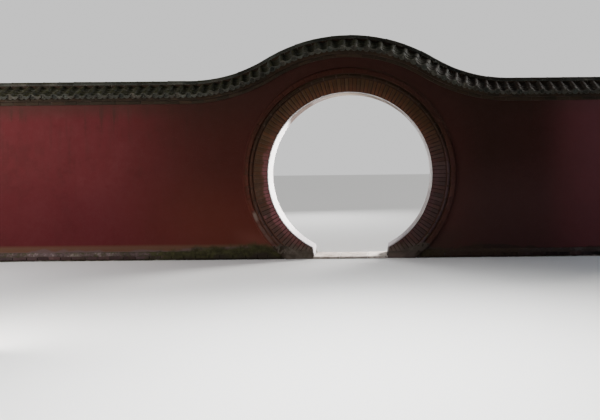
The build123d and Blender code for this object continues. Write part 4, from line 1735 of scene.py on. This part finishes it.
def ridge_tiles(node, start, end, base):
    """Lapped half-round tiles along the top of a stretch of the ridge."""
    chance = seeded(node)
    count = round((end - start) / RIDGE_TILE_LENGTH)
    pitch = (end - start) / count
    lows = start + pitch * np.arange(count)
    share = np.array([0.0, 0.02, 0.1, 0.5, 0.985, 1.0])
    swell = np.array([1.0, 1.03, 0.985, 0.975, 0.965, 0.93])
    angle, place = grid_of(np.radians(np.linspace(-4, 184, 15)), share)
    size = np.interp(place, share, swell) * RIDGE_FACE
    lift = chance.normal(0, 0.0015, (count, 1, 1))
    grids = []
    for shrink in (0.0, RIDGE_TILE_THICKNESS):
        y = np.broadcast_to((np.cos(angle) * (size - shrink))[None], (count, *angle.shape))
        rise = base + np.sin(angle)[None] * (size - shrink)[None] + lift
        run = lows[:, None, None] + place[None] * (pitch - 0.002) + np.zeros_like(y)
        grids.append(over_wall(np.stack([run, y, rise], -1)))
    return slabs(*grids, f"{node} tiles")


def ridge():
    """Ridge: a brick course on the bed, and lapped half-round tiles on top."""
    course_top = RIDGE_TOP_RISE - RIDGE_FACE
    for stretch, start, end in STRETCHES:
        node = f"ridge_{stretch}"
        parts = brick_course(node, start, end, RIDGE_FACE - 0.006, RIDGE_RISE - 0.01, course_top - 0.006, 0.3)
        parts.append((*coping_core(start, end, RIDGE_FACE - 0.016, RIDGE_RISE - 0.02, course_top), 1))
        parts.append((*ridge_tiles(node, start, end, course_top - 0.004), 2))
        piece(f"{node}_tiles", [node], "ridge_tile", parts, [CORBEL_BRICK, ROOF_MORTAR, RIDGE_TILE])


def bare_roof_bed():
    """The mortar bed keeps its CAD shape."""
    for stretch, _, _ in STRETCHES:
        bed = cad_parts[f"roof_bed_{stretch}"]
        bed.data.materials.clear()
        bed.data.materials.append(ROOF_MORTAR)


def floor():
    """Plain pale floor, which throws less light back than it shows."""
    material, tree, shader = new_material("pale floor")
    seen = add(tree, "ShaderNodeLightPath").outputs["Is Camera Ray"]
    tree.links.new(mix(tree, seen, rgb(0.5, 0.5, 0.49), rgb(0.9, 0.895, 0.88)), shader.inputs["Base Color"])
    shader.inputs["Roughness"].default_value = 0.9
    mesh = bpy.data.meshes.new("floor")
    corners = [(FLOOR_REACH * x, FLOOR_REACH * y, 0.0) for x, y in ((-1, -1), (1, -1), (1, 1), (-1, 1))]
    mesh.from_pydata(corners, [], [(0, 1, 2, 3)])
    mesh.materials.append(material)
    made = bpy.data.objects.new("floor", mesh)
    made.location.z = -FLOOR_DROP
    bpy.context.scene.collection.objects.link(made)


make_camera()
make_surroundings()
make_lights()
floor()
level_plaster()
gate_plaster()
brick_ring()
hood_course("hood_inner", INNER_HOOD, INNER_HOOD_FACE, 0.015, [INNER_HOOD_BRICK, JOINT_MORTAR])
hood_course("hood_outer", OUTER_HOOD, OUTER_HOOD_FACE, 0.011, [OUTER_HOOD_BRICK, OUTER_HOOD_BRICK])
linings()
threshold()
footings()
corbels()
bare_roof_bed()
tiled_slopes()
ridge()
